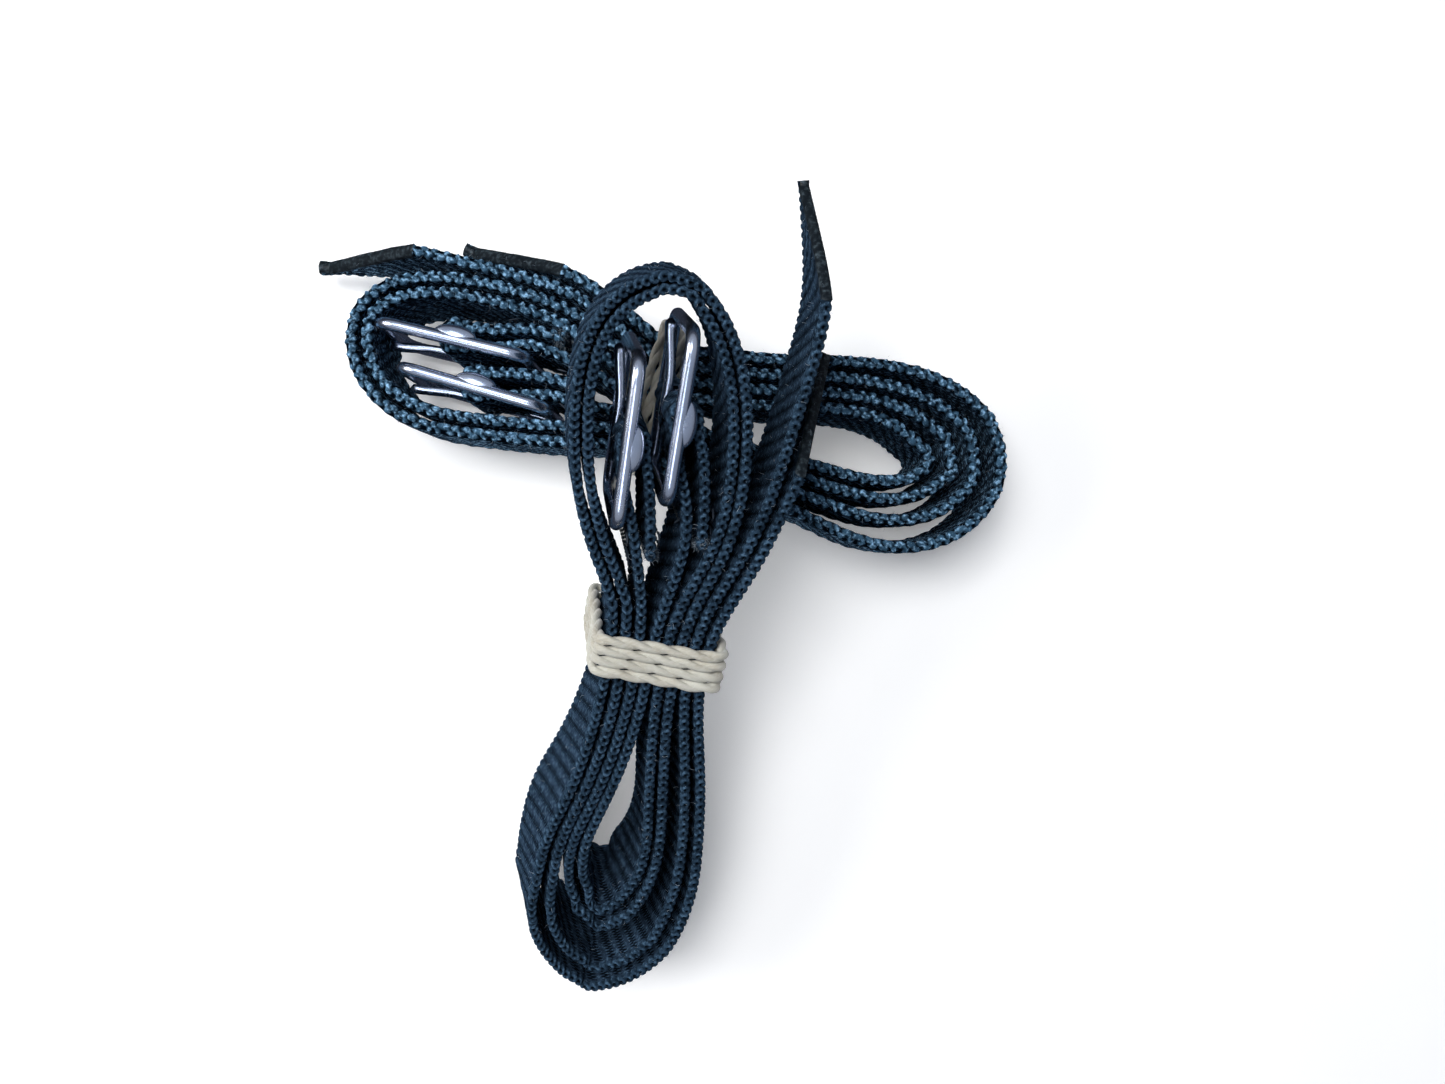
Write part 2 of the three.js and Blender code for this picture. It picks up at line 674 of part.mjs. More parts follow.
// The cord's turns round the eight layers in the tie, from the middle of their lower side
function tieSolid(hank) {
  const { tie } = hank.rows;
  const rowWay = flat(1, 0).rotateAround(flat(0, 0), tie.turn);
  const runWay = headingInSpace(hank, flat(-rowWay.y, rowWay.x));
  const sideWay = headingInSpace(hank, rowWay);
  const [first, last] = [1, 8].map((slot) => {
    const point = rowPlace(hank, tie, slot);
    const way = widthWay(hank, point, runWay);
    return { middle: widthMiddle(hank, point, way), way, side: new THREE.Vector3().crossVectors(runWay, way) };
  });
  const centre = first.middle.clone().add(last.middle).multiplyScalar(0.5);
  const corner = ({ middle, way, side }, out, high) => {
    const from = middle.clone().sub(centre);
    from.addScaledVector(side, (out * hank.thickness) / 2).addScaledVector(way, (high * webWidth) / 2);
    return flat(from.dot(sideWay), from.dot(hank.up));
  };
  const corners = [corner(first, -1, -1), corner(last, 1, -1), corner(last, 1, 1), corner(first, -1, 1)];
  const reach = cordDiameter / 2 + cordClearance;
  const loop = [];
  corners.forEach((point, i) => {
    const after = corners[(i + 1) % 4].clone().sub(point).angle();
    const before = point.clone().sub(corners[(i + 3) % 4]).angle();
    const turn = THREE.MathUtils.euclideanModulo(after - before, 2 * Math.PI);
    for (const part of [0, 0.5, 1]) {
      const angle = before - Math.PI / 2 + turn * part;
      loop.push(flat(Math.cos(angle), Math.sin(angle)).multiplyScalar(reach).add(point));
    }
    loop.push(loop.at(-1).clone().lerp(corners[(i + 1) % 4].clone().add(loop.at(-1)).sub(point), 0.5));
  });
  const turnDrop = (tiePitch * (tieTurns - 0.5)) / tieTurns;
  const points = Array.from({ length: tieTurns * loop.length }, (_, i) => {
    const spot = loop[(i + tieStartSpot) % loop.length];
    const along = tieHalf - tiePitch / 2 - (turnDrop * i) / loop.length;
    return centre
      .clone()
      .addScaledVector(sideWay, spot.x)
      .addScaledVector(hank.up, spot.y)
      .addScaledVector(runWay, along);
  });
  return rod(points, cordDiameter, rodSides);
}

// Looks
const webFront = { color: 0x26323f, roughness: 0.85, metalness: 0 };
const webRear = { color: 0x1f2c38, roughness: 0.75, metalness: 0 };
const polished = { color: 0xc9ccd2, roughness: 0.12, metalness: 1 };
const twine = { color: 0xe6e2d6, roughness: 0.9, metalness: 0 };
const sewing = { color: 0x18222c, roughness: 0.6, metalness: 0 };

function piece(name, geometry, look) {
  const mesh = new THREE.Mesh(geometry, new THREE.MeshStandardMaterial(look));
  mesh.name = name;
  return mesh;
}

const hanks = new THREE.Group();
for (const hank of [front, rear]) {
  const web = hank === front ? webFront : webRear;
  ['outer', 'inner'].forEach((name, i) => {
    const buckle = hank.buckles[i];
    hanks.add(piece(`${hank.name}_strap_${name}`, strapSolid(hank, i), web));
    hanks.add(piece(`${hank.name}_buckle_frame_${buckle.name}`, frameSolid(hank, buckle), polished));
    hanks.add(piece(`${hank.name}_buckle_tongue_${buckle.name}`, tongueSolid(hank, buckle), polished));
    hanks.add(piece(`${hank.name}_needle_thread_${buckle.name}`, threadSolid(hank, i, 'fold'), sewing));
    hanks.add(piece(`${hank.name}_bobbin_thread_${buckle.name}`, threadSolid(hank, i, 'leg'), sewing));
  });
  hanks.add(piece(`${hank.name}_tie_cord`, tieSolid(hank), twine));
}

// The origin is the middle of the base
const box = new THREE.Box3().setFromObject(hanks, true);
const middle = box.getCenter(new THREE.Vector3());
hanks.position.set(-middle.x, -middle.y, -box.min.z);

export default hanks;
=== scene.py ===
# %% [markdown]
# Two tied hanks of buckle straps
#
# Each hank is a pair of narrow webbing straps, rolled up together from their buckles and tied
# round the middle with cotton cord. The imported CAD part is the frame: it fixes every place and
# size. This file only dresses it, in the woven, polished and twisted surfaces of the real thing.

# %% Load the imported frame
import json
import math

import bmesh
import bpy
import numpy as np
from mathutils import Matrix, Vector

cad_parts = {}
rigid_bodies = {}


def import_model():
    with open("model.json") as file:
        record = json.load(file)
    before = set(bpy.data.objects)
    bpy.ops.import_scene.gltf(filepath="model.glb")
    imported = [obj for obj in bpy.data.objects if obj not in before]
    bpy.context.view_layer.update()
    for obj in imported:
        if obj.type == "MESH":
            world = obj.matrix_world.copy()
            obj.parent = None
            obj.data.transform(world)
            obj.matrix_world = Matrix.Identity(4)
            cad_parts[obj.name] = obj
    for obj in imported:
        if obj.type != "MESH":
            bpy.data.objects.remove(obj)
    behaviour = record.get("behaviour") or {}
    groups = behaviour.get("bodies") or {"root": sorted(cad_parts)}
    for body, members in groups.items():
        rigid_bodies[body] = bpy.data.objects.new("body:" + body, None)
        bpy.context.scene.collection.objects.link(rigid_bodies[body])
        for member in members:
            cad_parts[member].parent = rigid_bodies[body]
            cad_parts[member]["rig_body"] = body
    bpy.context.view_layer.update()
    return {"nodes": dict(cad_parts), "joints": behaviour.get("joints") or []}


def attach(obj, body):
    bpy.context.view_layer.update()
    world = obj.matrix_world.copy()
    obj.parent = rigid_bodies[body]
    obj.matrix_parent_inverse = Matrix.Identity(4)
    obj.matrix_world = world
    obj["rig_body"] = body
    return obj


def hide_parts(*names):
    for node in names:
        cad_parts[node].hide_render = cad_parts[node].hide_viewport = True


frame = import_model()
MM = 0.001
HANKS = ("front", "rear")
STRAPS = (("outer", "1"), ("inner", "2"))
WEB_WIDTH = 25 * MM
WEB_THICKNESS = {"front": 2 * MM, "rear": 2.8 * MM}
TIP_BLUNT = 1.2 * MM
TIP_SLANT = {"front": 19.5 * MM, "rear": 26 * MM}

# %% [markdown]
# Arithmetic that makes nodes
#
# Patterns such as ribs and stitches are formulas. A formula in a node tree takes many Math nodes,
# which are slow to place by hand, so a small class turns plain sums into nodes. The same sums
# then serve Geometry Nodes, which move the surface, and shader nodes, which colour it.


# %% A value in a node tree
def feed(tree, socket, value):
    """Links a value or a node's first output to a socket, or sets the socket to a plain number."""
    if isinstance(value, bpy.types.Node):
        value = Field(tree, value.outputs[0])
    if isinstance(value, Field):
        tree.links.new(value.socket, socket)
    else:
        socket.default_value = value


class Field:
    """A value in a node tree, which plain arithmetic turns into Math nodes."""

    def __init__(self, tree, socket):
        self.tree, self.socket = tree, socket

    def apply(self, operation, *others):
        """One Math node, with this value first."""
        node = self.tree.nodes.new("ShaderNodeMath")
        node.operation = operation
        for i, value in enumerate((self, *others)):
            feed(self.tree, node.inputs[i], value)
        return Field(self.tree, node.outputs[0])

    def __add__(self, other):
        return self.apply("ADD", other)

    def __sub__(self, other):
        return self.apply("SUBTRACT", other)

    def __mul__(self, other):
        return self.apply("MULTIPLY", other)

    def __truediv__(self, other):
        return self.apply("DIVIDE", other)

    def __pow__(self, other):
        return self.apply("POWER", other)

    def size(self):
        return self.apply("ABSOLUTE")

    def wave(self):
        """A smooth wave from 0 to 1, one for each whole number, highest at the whole numbers."""
        return (self * (2 * math.pi)).apply("COSINE") * 0.5 + 0.5

    def ramp(self, low, high):
        """0 up to low and 1 from high, with a smooth rise between."""
        node = self.tree.nodes.new("ShaderNodeMapRange")
        node.interpolation_type = "SMOOTHSTEP"
        feed(self.tree, node.inputs["Value"], self)
        feed(self.tree, node.inputs["From Min"], low)
        feed(self.tree, node.inputs["From Max"], high)
        return Field(self.tree, node.outputs["Result"])

    def toward(self, other, share):
        """This value at share 0 and the other at share 1."""
        return self + (other - self) * share


# %% A Geometry Nodes tree with named inputs
def tree_with_inputs(name, inputs):
    """A Geometry Nodes tree, its inputs as values, and its output node."""
    tree = bpy.data.node_groups.new(name, "GeometryNodeTree")
    face = tree.interface
    face.new_socket("Geometry", in_out="INPUT", socket_type="NodeSocketGeometry")
    for label, kind, value in inputs:
        socket = face.new_socket(label, in_out="INPUT", socket_type=f"NodeSocket{kind}")
        if value is not None:
            socket.default_value = value
    face.new_socket("Geometry", in_out="OUTPUT", socket_type="NodeSocketGeometry")
    source = tree.nodes.new("NodeGroupInput")
    ends = {s.name: Field(tree, s) for s in source.outputs if s.name}
    return tree, ends, tree.nodes.new("NodeGroupOutput")


def add(tree, kind, settings=(), **inputs):
    """A node with its settings made and its named inputs fed."""
    node = tree.nodes.new(kind)
    for key, value in dict(settings).items():
        setattr(node, key, value)
    for label, value in inputs.items():
        feed(tree, node.inputs[label.replace("_", " ")], value)
    return node


def named(tree, name, kind="FLOAT"):
    """A named attribute of the geometry."""
    node = add(tree, "GeometryNodeInputNamedAttribute", {"data_type": kind}, Name=name)
    return Field(tree, node.outputs["Attribute"])


def store(tree, geometry, name, value):
    """A node that keeps a number on the geometry's points under a name."""
    settings = {"data_type": "FLOAT", "domain": "POINT"}
    return add(
        tree, "GeometryNodeStoreNamedAttribute", settings, Geometry=geometry, Name=name, Value=value
    )


def finish_tree(tree, end, geometry, finish):
    """Instances made real, faces smoothed, and the finish set, as the tree's last steps."""
    smooth = add(tree, "GeometryNodeSetShadeSmooth", Geometry=geometry)
    real = add(tree, "GeometryNodeRealizeInstances", Geometry=smooth)
    painted = add(tree, "GeometryNodeSetMaterial", Geometry=real, Material=finish)
    feed(tree, end.inputs["Geometry"], painted)


def grow(obj, tree, **values):
    """Runs a tree on an object and keeps the result as its plain mesh."""
    modifier = obj.modifiers.new(tree.name, "NODES")
    modifier.node_group = tree
    for item in tree.interface.items_tree:
        label = item.name.replace(" ", "_")
        if item.in_out == "INPUT" and label in values:
            modifier[item.identifier] = values[label]
    bpy.context.view_layer.update()
    dressed = obj.evaluated_get(bpy.context.evaluated_depsgraph_get())
    mesh = bpy.data.meshes.new_from_object(dressed)
    obj.modifiers.remove(modifier)
    obj.data = mesh
    return obj


def new_object(name, points, edges=(), faces=()):
    """An object at the origin, with its place in its mesh."""
    mesh = bpy.data.meshes.new(name)
    mesh.from_pydata([tuple(p) for p in points], list(edges), list(faces))
    obj = bpy.data.objects.new(name, mesh)
    bpy.context.scene.collection.objects.link(obj)
    return obj


def stand_in(obj, node):
    """The object takes a CAD node's place: it rides on the same body and hides the node."""
    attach(obj, frame["nodes"][node]["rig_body"])
    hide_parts(node)


# %% [markdown]
# Where the webbing runs
#
# Real webbing is one ribbon, so every detail has to follow its length. The CAD strap is a ribbon
# of plain cross sections, and each is an exact rectangle of the webbing's thickness and width.
# Finding those rectangles again among the mesh's points gives the ribbon's path and twist back,
# with no table of points in this file. Between its tight folds the path is then softened a
# little, because the CAD strap has few sections and real webbing has no slight corners.


# %% Find a strap's cross sections
# Slack in metres: for doubled points, for plain sections, and for the one at the blunt tip.
DOUBLED, EXACT, ROUGH = 1e-6, 4e-6, 1e-4
LONGEST_STEP = 0.6 * WEB_WIDTH


def merged(node):
    """A CAD node's points and links, with doubled points joined."""
    bm = bmesh.new()
    bm.from_mesh(frame["nodes"][node].data)
    bmesh.ops.remove_doubles(bm, verts=bm.verts, dist=DOUBLED)
    bm.verts.index_update()
    points = np.array([v.co for v in bm.verts])
    links = [(e.verts[0].index, e.verts[1].index) for e in bm.edges]
    bm.free()
    return points, links


def rectangles(points, thickness, height, slack=EXACT):
    """Sets of four points that form an exact rectangle, the best fits first, none sharing a point."""
    apart = np.linalg.norm(points[:, None] - points[None], axis=2)
    diagonal = math.hypot(thickness, height)
    fits = []
    for a, b in np.argwhere(np.triu(abs(apart - thickness) < slack)):
        for c in np.flatnonzero((abs(apart[a] - height) < slack) & (abs(apart[b] - diagonal) < slack)):
            good = (abs(apart[b] - height) < slack) & (abs(apart[a] - diagonal) < slack)
            for d in np.flatnonzero(good & (abs(apart[c] - thickness) < slack)):
                sides = abs(apart[a, c] - height) + abs(apart[b, d] - height)
                ends = abs(apart[a, b] - thickness) + abs(apart[c, d] - thickness)
                corners = abs(apart[a, d] - diagonal) + abs(apart[b, c] - diagonal)
                fits.append((sides + ends + corners, a, b, c, d))
    used, chosen = set(), []
    for _, *corners in sorted(fits):
        if not used & set(corners):
            used |= set(corners)
            chosen.append(corners)
    return chosen


def section(points, corners, height):
    """The middle of a rectangle's lower end, its upward way and its side."""
    a, b, c, d = (points[i] for i in corners)
    low, high = (a + b) / 2, (c + d) / 2
    side = (b - a) / np.linalg.norm(b - a)
    if high[2] < low[2]:
        low, high = high, low
    return low, (high - low) / height, side


def in_order(sections, links, tip):
    """Sections in their order along the strap, from the folded end to the tip."""
    owner = {v: i for i, (corners, _) in enumerate(sections) for v in corners}
    near = {i: set() for i in range(len(sections))}
    for a, b in links:
        a, b = owner.get(a), owner.get(b)
        if a is not None and b is not None and a != b:
            near[a].add(b)
            near[b].add(a)
    place = np.array([low for _, (low, _, _) in sections])
    ends = [i for i in near if len(near[i]) == 1]
    here = max(ends, key=lambda i: np.linalg.norm(place[i] - tip))
    order, left = [here], set(near) - {here}
    while left:
        onward = near[here] & left
        if not onward and len(order) > 1:
            heading = place[here] - place[order[-2]]
            onward = {i for i in left if (place[i] - place[here]) @ heading > 0}
        here = min(onward or left, key=lambda i: np.linalg.norm(place[i] - place[order[-1]]))
        if np.linalg.norm(place[here] - place[order[-1]]) > LONGEST_STEP:
            break
        order.append(here)
        left.discard(here)
    return [sections[i][1] for i in order], len(left)


# %% A smooth ribbon through the cross sections
def smooth_line(knots, values, per_span=24):
    """Values between knots, on a smooth curve whose knots lie apart as the root of their distance."""
    gap = np.sqrt(np.linalg.norm(np.diff(knots, axis=0), axis=1))[:, None]
    steps = np.diff(values, axis=0) / gap
    inner = (steps[:-1] * gap[1:] + steps[1:] * gap[:-1]) / (gap[1:] + gap[:-1])
    slope = np.vstack([steps[:1], inner, steps[-1:]])
    u = np.linspace(0, 1, per_span, endpoint=False)[None, :, None]
    v0, v1 = values[:-1, None], values[1:, None]
    s0, s1 = slope[:-1, None] * gap[:, None], slope[1:, None] * gap[:, None]
    curve = (
        v0 * (1 + u * u * (2 * u - 3)) + v1 * u * u * (3 - 2 * u)
        + s0 * u * (1 - u) ** 2 + s1 * u * u * (u - 1)
    )
    return np.vstack([curve.reshape(-1, 3), values[-1:]])


def unit(vectors):
    """Vectors of length 1."""
    return vectors / np.linalg.norm(vectors, axis=-1, keepdims=True)


def spread_evenly(line, spacing, *others):
    """The line and what goes with it, at even steps of its length, and those lengths."""
    run = np.concatenate([[0], np.cumsum(np.linalg.norm(np.diff(line, axis=0), axis=1))])
    at = np.linspace(0, run[-1], max(2, round(run[-1] / spacing)) + 1)
    return [np.stack([np.interp(at, run, v[:, i]) for i in range(3)], 1) for v in (line, *others)] + [at]


def softened(values, reach, spacing):
    """Values averaged over a bell along a line, with straight ends kept straight."""
    half = round(3 * reach / spacing)
    bell = np.exp(-((np.arange(-half, half + 1) * spacing / reach) ** 2) / 2)
    padded = np.pad(values, ((half, half), (0, 0)), "reflect", reflect_type="odd")
    return np.stack([np.convolve(column, bell / bell.sum(), "valid") for column in padded.T], 1)


# %% The ribbon's whole path, softened where its bends are wider than the calm radius
CALM_RADIUS, CALM_BLEND = 12 * MM, 1.5 * MM
MIDDLE_REACH, WAY_REACH = 5 * MM, 16 * MM


def ribbon(hank, strap, spacing):
    """A strap's path: middles of its width, upward ways, sides and lengths."""
    points, links = merged(f"{hank}_strap_{strap}")
    thickness = WEB_THICKNESS[hank]
    full = rectangles(points, thickness, WEB_WIDTH)
    blunt = [section(points, ends, TIP_BLUNT) for ends in rectangles(points, thickness, TIP_BLUNT, ROUGH)]
    tip = max(blunt, key=lambda found: np.linalg.norm(found[0] - points.mean(0)))
    sections = [(corners, section(points, corners, WEB_WIDTH)) for corners in full]
    ordered, missed = in_order(sections, links, tip[0])
    ordered.append(tip)
    lows = np.array([low for low, _, _ in ordered])
    ways = unit(np.array([way for _, way, _ in ordered]))
    knots = lows + ways * WEB_WIDTH / 2
    middles, ways, at = spread_evenly(smooth_line(knots, knots), spacing, smooth_line(knots, ways))
    bend = np.linalg.norm(np.gradient(unit(np.gradient(middles, axis=0)), axis=0), axis=1) / spacing
    calm = softened(np.clip(2 - bend * CALM_RADIUS, 0, 1)[:, None], CALM_BLEND, spacing)
    middles = middles + (softened(middles, MIDDLE_REACH, spacing) - middles) * calm
    ways = ways + (softened(ways, WAY_REACH, spacing) - ways) * calm
    tangents = unit(np.gradient(middles, axis=0))
    ways = unit(ways - tangents * (ways * tangents).sum(1, keepdims=True))
    print(f"{hank} {strap} strap: {len(ordered)} sections, {missed} missed, {at[-1] * 1000:.0f} mm long")
    return {"middle": middles, "way": ways, "side": np.cross(ways, tangents), "at": at}


# %% Lay out the four ribbons
STEP = {"front": 0.25 * MM, "rear": 0.3 * MM}
ribbons = {(hank, strap): ribbon(hank, strap, STEP[hank]) for hank in HANKS for strap, _ in STRAPS}


# %% [markdown]
# Where each buckle sits
#
# A buckle turns on its heel bar, and the frame's hinge already gives the bar's middle and
# direction. The buckle's own long way is the direction in which its flat ring spreads, and the
# tongue lies on the side of its tip.


# %% Each buckle's own axes
def buckle_axes(hank, number):
    """The bar's middle, and the buckle's long way, bar way and facing way."""
    name = f"{hank}_buckle_{number}_on_strap"
    hinge = next(j for j in frame["joints"] if j["name"] == name)
    middle, bar = np.array(hinge["pos_m"]), unit(np.array(hinge["axis"]))
    ring = merged(f"{hank}_buckle_frame_{number}")[0] - middle
    tongue = merged(f"{hank}_buckle_tongue_{number}")[0] - middle
    flat = ring - np.outer(ring @ bar, bar)
    long = np.linalg.svd(flat - flat.mean(0), full_matrices=False)[2][0]
    reach = tongue @ long
    if reach.max() < -reach.min():
        long = -long
    facing = np.cross(long, bar)
    sizes = {"long": ring @ long, "bar": ring @ bar, "facing": ring @ facing}
    print(name, {k: (round(v.min() * 1000, 2), round(v.max() * 1000, 2)) for k, v in sizes.items()})
    return {"middle": middle, "long": long, "bar": bar, "facing": facing}


buckles = {(hank, n): buckle_axes(hank, n) for hank in HANKS for _, n in STRAPS}

# %% [markdown]
# Finishes
#
# The webbing is dark blue yarn: its raised loops catch the light and the gaps between them are
# almost black. A raised surface alone looks like painted plastic, so the colour carries painted
# shade as well: near black in the pits, gaps and rib grooves and between fine yarn lines, lighter
# on the crests. The fine yarn lines, too small for the mesh, come from a node group. The group
# reads the length and width kept on each point, so the yarns follow every bend.


# %% A material with its shader
def material(name, **constants):
    """A material, its tree and its main shader, with constant values on the shader's own sockets."""
    made = bpy.data.materials.new(name)
    made.use_nodes = True
    shader = made.node_tree.nodes["Principled BSDF"]
    for label, value in constants.items():
        shader.inputs[label.replace("_", " ")].default_value = value
    return made, made.node_tree, shader


def dress(tree, shader, **looks):
    """Feeds the shader's sockets with values that change over the surface."""
    for label, value in looks.items():
        feed(tree, shader.inputs[label.replace("_", " ")], value)


def group_tree(name, inputs, outputs):
    """A shader node group with named inputs and outputs."""
    tree = bpy.data.node_groups.new(name, "ShaderNodeTree")
    for label, kind, value in inputs:
        socket = tree.interface.new_socket(label, in_out="INPUT", socket_type=f"NodeSocket{kind}")
        socket.default_value = value
    for label, kind in outputs:
        tree.interface.new_socket(label, in_out="OUTPUT", socket_type=f"NodeSocket{kind}")
    source = tree.nodes.new("NodeGroupInput")
    starts = {s.name: Field(tree, s) for s in source.outputs if s.name}
    return tree, starts, tree.nodes.new("NodeGroupOutput")


def use_group(tree, group, **values):
    """A node group placed in a material, with its own values."""
    node = tree.nodes.new("ShaderNodeGroup")
    node.node_tree = group
    for label, value in values.items():
        feed(tree, node.inputs[label.replace("_", " ")], value)
    return {s.name: Field(tree, s) for s in node.outputs}


def attribute(tree, name):
    """A number kept on the piece's points."""
    node = tree.nodes.new("ShaderNodeAttribute")
    node.attribute_name = name
    return Field(tree, node.outputs["Fac"])


def noise(tree, scale, detail=3.0, roughness=0.6, vector=None):
    """Smooth random values from 0 to 1 over the object."""
    if vector is None:
        vector = Field(tree, tree.nodes.new("ShaderNodeTexCoord").outputs["Object"])
    node = add(tree, "ShaderNodeTexNoise", Vector=vector, Scale=scale, Detail=detail, Roughness=roughness)
    return Field(tree, node.outputs["Fac"])


def blended(tree, share, low, high):
    """A colour between two. The node's inputs 6 and 7 are its two colours."""
    node = add(tree, "ShaderNodeMix", {"data_type": "RGBA"})
    feed(tree, node.inputs[0], share)
    for i, colour in ((6, low), (7, high)):
        feed(tree, node.inputs[i], colour if isinstance(colour, Field) else (*colour, 1))
    return Field(tree, node.outputs[2])


def bump(tree, height, distance, strength):
    """A normal that fine relief tilts."""
    node = add(tree, "ShaderNodeBump", Height=height, Distance=distance, Strength=strength)
    return Field(tree, node.outputs["Normal"])


# %% Yarn lines as a node group
def yarn_group():
    """Fine yarns along the webbing, in bands across it, with saw-toothed band edges."""
    inputs = [
        ("Along", "Float", 0.0), ("Across", "Float", 0.0), ("Band spacing", "Float", 3 * MM),
        ("Yarn spacing", "Float", 0.5 * MM), ("Teeth", "Float", 0.34),
    ]
    outputs = [("Yarn", "Float"), ("Band", "Float"), ("Speck", "Float")]
    tree, value, end = group_tree("Yarn lines", inputs, outputs)
    column = value["Across"] / value["Yarn spacing"]
    yarn = column.wave()
    tooth = (column * 0.5).wave() * value["Teeth"]
    band = (value["Along"] / value["Band spacing"] + tooth).wave().ramp(0.08, 0.5)
    speck = noise(tree, 1300.0, 2.0, 0.6).ramp(0.46, 0.7)
    for label, made in (("Yarn", yarn), ("Band", band), ("Speck", speck)):
        feed(tree, end.inputs[label], made)
    return tree


YARN = yarn_group()


# %% Webbing finishes for the two hanks
MELTED_DARK, MELTED_PALE = (0.006, 0.009, 0.012), (0.055, 0.075, 0.09)


def webbing_finish(hank, painted_gap_shade, flat_yarn, edge_yarn, bright, glint, dullness):
    """Painted shade in the gaps and pits, paler raised yarn, and painted glints on single filaments."""
    made, tree, shader = material(f"{hank} webbing", Specular_IOR_Level=0.0, Coat_Roughness=0.35)
    crest, rim, sealed = attribute(tree, "crest"), attribute(tree, "rim"), attribute(tree, "sealed")
    lines = use_group(tree, YARN, Along=attribute(tree, "slanted"), Across=attribute(tree, "across"))
    # Painted shade: face darkens between yarns and in the rib grooves; lit takes the crest, low in pits and
    # gaps, on the rims.
    face = (lines["Yarn"] * 0.45 + 0.55) * (lines["Band"] * 0.94 + 0.06)
    lit = face.toward(crest, rim)
    worn = noise(tree, 260.0, 4.0).ramp(0.3, 0.7) * 0.6 + 0.5
    yarn = blended(tree, rim, flat_yarn, edge_yarn)
    # Painted shade: the near-black gap colour wherever lit is low.
    cloth = blended(tree, lit * worn, painted_gap_shade, yarn)
    # Painted glints: on lit yarn the speck mask mixes in the pale glint colour.
    cloth = blended(tree, lit * lines["Speck"] * glint, cloth, bright)
    # The melted tip's paler spots: partly its own mottled melt, partly painted glints.
    melt_mottle_and_glint = noise(tree, 1100.0, 4.0)
    melted = blended(tree, melt_mottle_and_glint.ramp(0.45, 0.75), MELTED_DARK, MELTED_PALE)
    height = (lines["Yarn"] * 0.6 + lines["Speck"] * 0.5) * (sealed * -1 + 1) + noise(tree, 1500.0) * 0.7
    dress(
        tree, shader, Base_Color=blended(tree, sealed, cloth, melted), Coat_Weight=sealed * 0.5,
        Roughness=lines["Speck"] * -0.25 + dullness, Normal=bump(tree, height, 0.12 * MM, 0.8),
    )
    return made


# Per hank: the painted shade colour for the gaps, the yarn colours, and the painted glints' colour and
# share.
WEBBING = {
    "front": webbing_finish(
        "front", painted_gap_shade=(0.0005, 0.0012, 0.0024), flat_yarn=(0.033, 0.060, 0.102),
        edge_yarn=(0.026, 0.052, 0.088), bright=(0.09, 0.17, 0.27), glint=0.65, dullness=0.8,
    ),
    "rear": webbing_finish(
        "rear", painted_gap_shade=(0.0006, 0.0020, 0.0045), flat_yarn=(0.035, 0.065, 0.105),
        edge_yarn=(0.050, 0.115, 0.19), bright=(0.30, 0.54, 0.80), glint=1.0, dullness=0.65,
    ),
}


# %% [markdown]
# The webbing itself
#
# On the front straps the woven edge is a chain of yarn loops, two rows of slanted bumps with a
# dark pit between each pair. On the rear straps it is a row of round knots with smaller ones
# beside them. The flat face has low, slanted ribs. The ribbon's rounded cross section is swept
# along its path in mesh code, because the slot for the tongue and the slanted, heat-sealed tip
# change it on the way. The loops, knots and ribs repeat with the length by a rule, so a Geometry
# Nodes tree raises them.


# %% The webbing's cross section
SLOT_WIDTH = 4 * MM
RIM_SPANS = 10
RIM_FADE_START, RIM_FADE_END = 0.5 * MM, 1.3 * MM


def cross_section(thickness):
    """Points round a rounded ribbon: place through and across it, outward way and rim share."""
    half, reach = thickness / 2, WEB_WIDTH / 2 - thickness / 2
    slot = SLOT_WIDTH / 2
    wide = [-reach, -reach + RIM_FADE_START, -reach + RIM_FADE_END, -reach / 2, -slot, slot]
    wide += [reach / 2, reach - RIM_FADE_END, reach - RIM_FADE_START]
    rims = {0: 1.0, 1: 0.7, 8: 0.7}
    turn = [math.pi * i / RIM_SPANS for i in range(RIM_SPANS)]
    points = []
    for sign in (1, -1):
        for i, y in enumerate(wide):
            points.append((sign * half, sign * y, sign, 0, rims.get(i, 0.0)))
        for angle in turn:
            x, y = sign * math.cos(angle), sign * math.sin(angle)
            points.append((half * x, sign * reach + half * y, x, y, 1.0))
    return np.array(points)


# %% The faces between the sections
def webbing_faces(rows, count, slot_corners, first, last):
    """Faces along the ribbon, with a slot through it from its first to its last slot row."""
    a, b, c, d = slot_corners
    faces = []
    for i in range(rows - 1):
        low, high = i * count, (i + 1) * count
        in_slot = first <= i < last
        for j in range(count):
            if in_slot and j in (a, c):
                continue
            k = (j + 1) % count
            faces.append((low + j, low + k, high + k, high + j))
        if in_slot:
            faces.append((low + a, high + a, high + d, low + d))
            faces.append((low + c, high + c, high + b, low + b))
    slot_end, strap_end = (a, d, c, b), range(count)
    for row, ring, turn in (
        (first, slot_end, 1), (last, slot_end, -1), (0, strap_end, -1), (rows - 1, strap_end, 1),
    ):
        faces.append(tuple([row * count + j for j in ring][::turn]))
    return faces


# %% Sweep the section along a ribbon
SLOT_BEHIND_BAR, NEAR_BAR = 3.9 * MM, 7 * MM
TIP_FULLNESS, TIP_SPARE = 1.05, 0.2 * MM
MELT_FULL, MELT_REACH = 1.6, 1.6 * MM
RIB_SLANT = 0.38


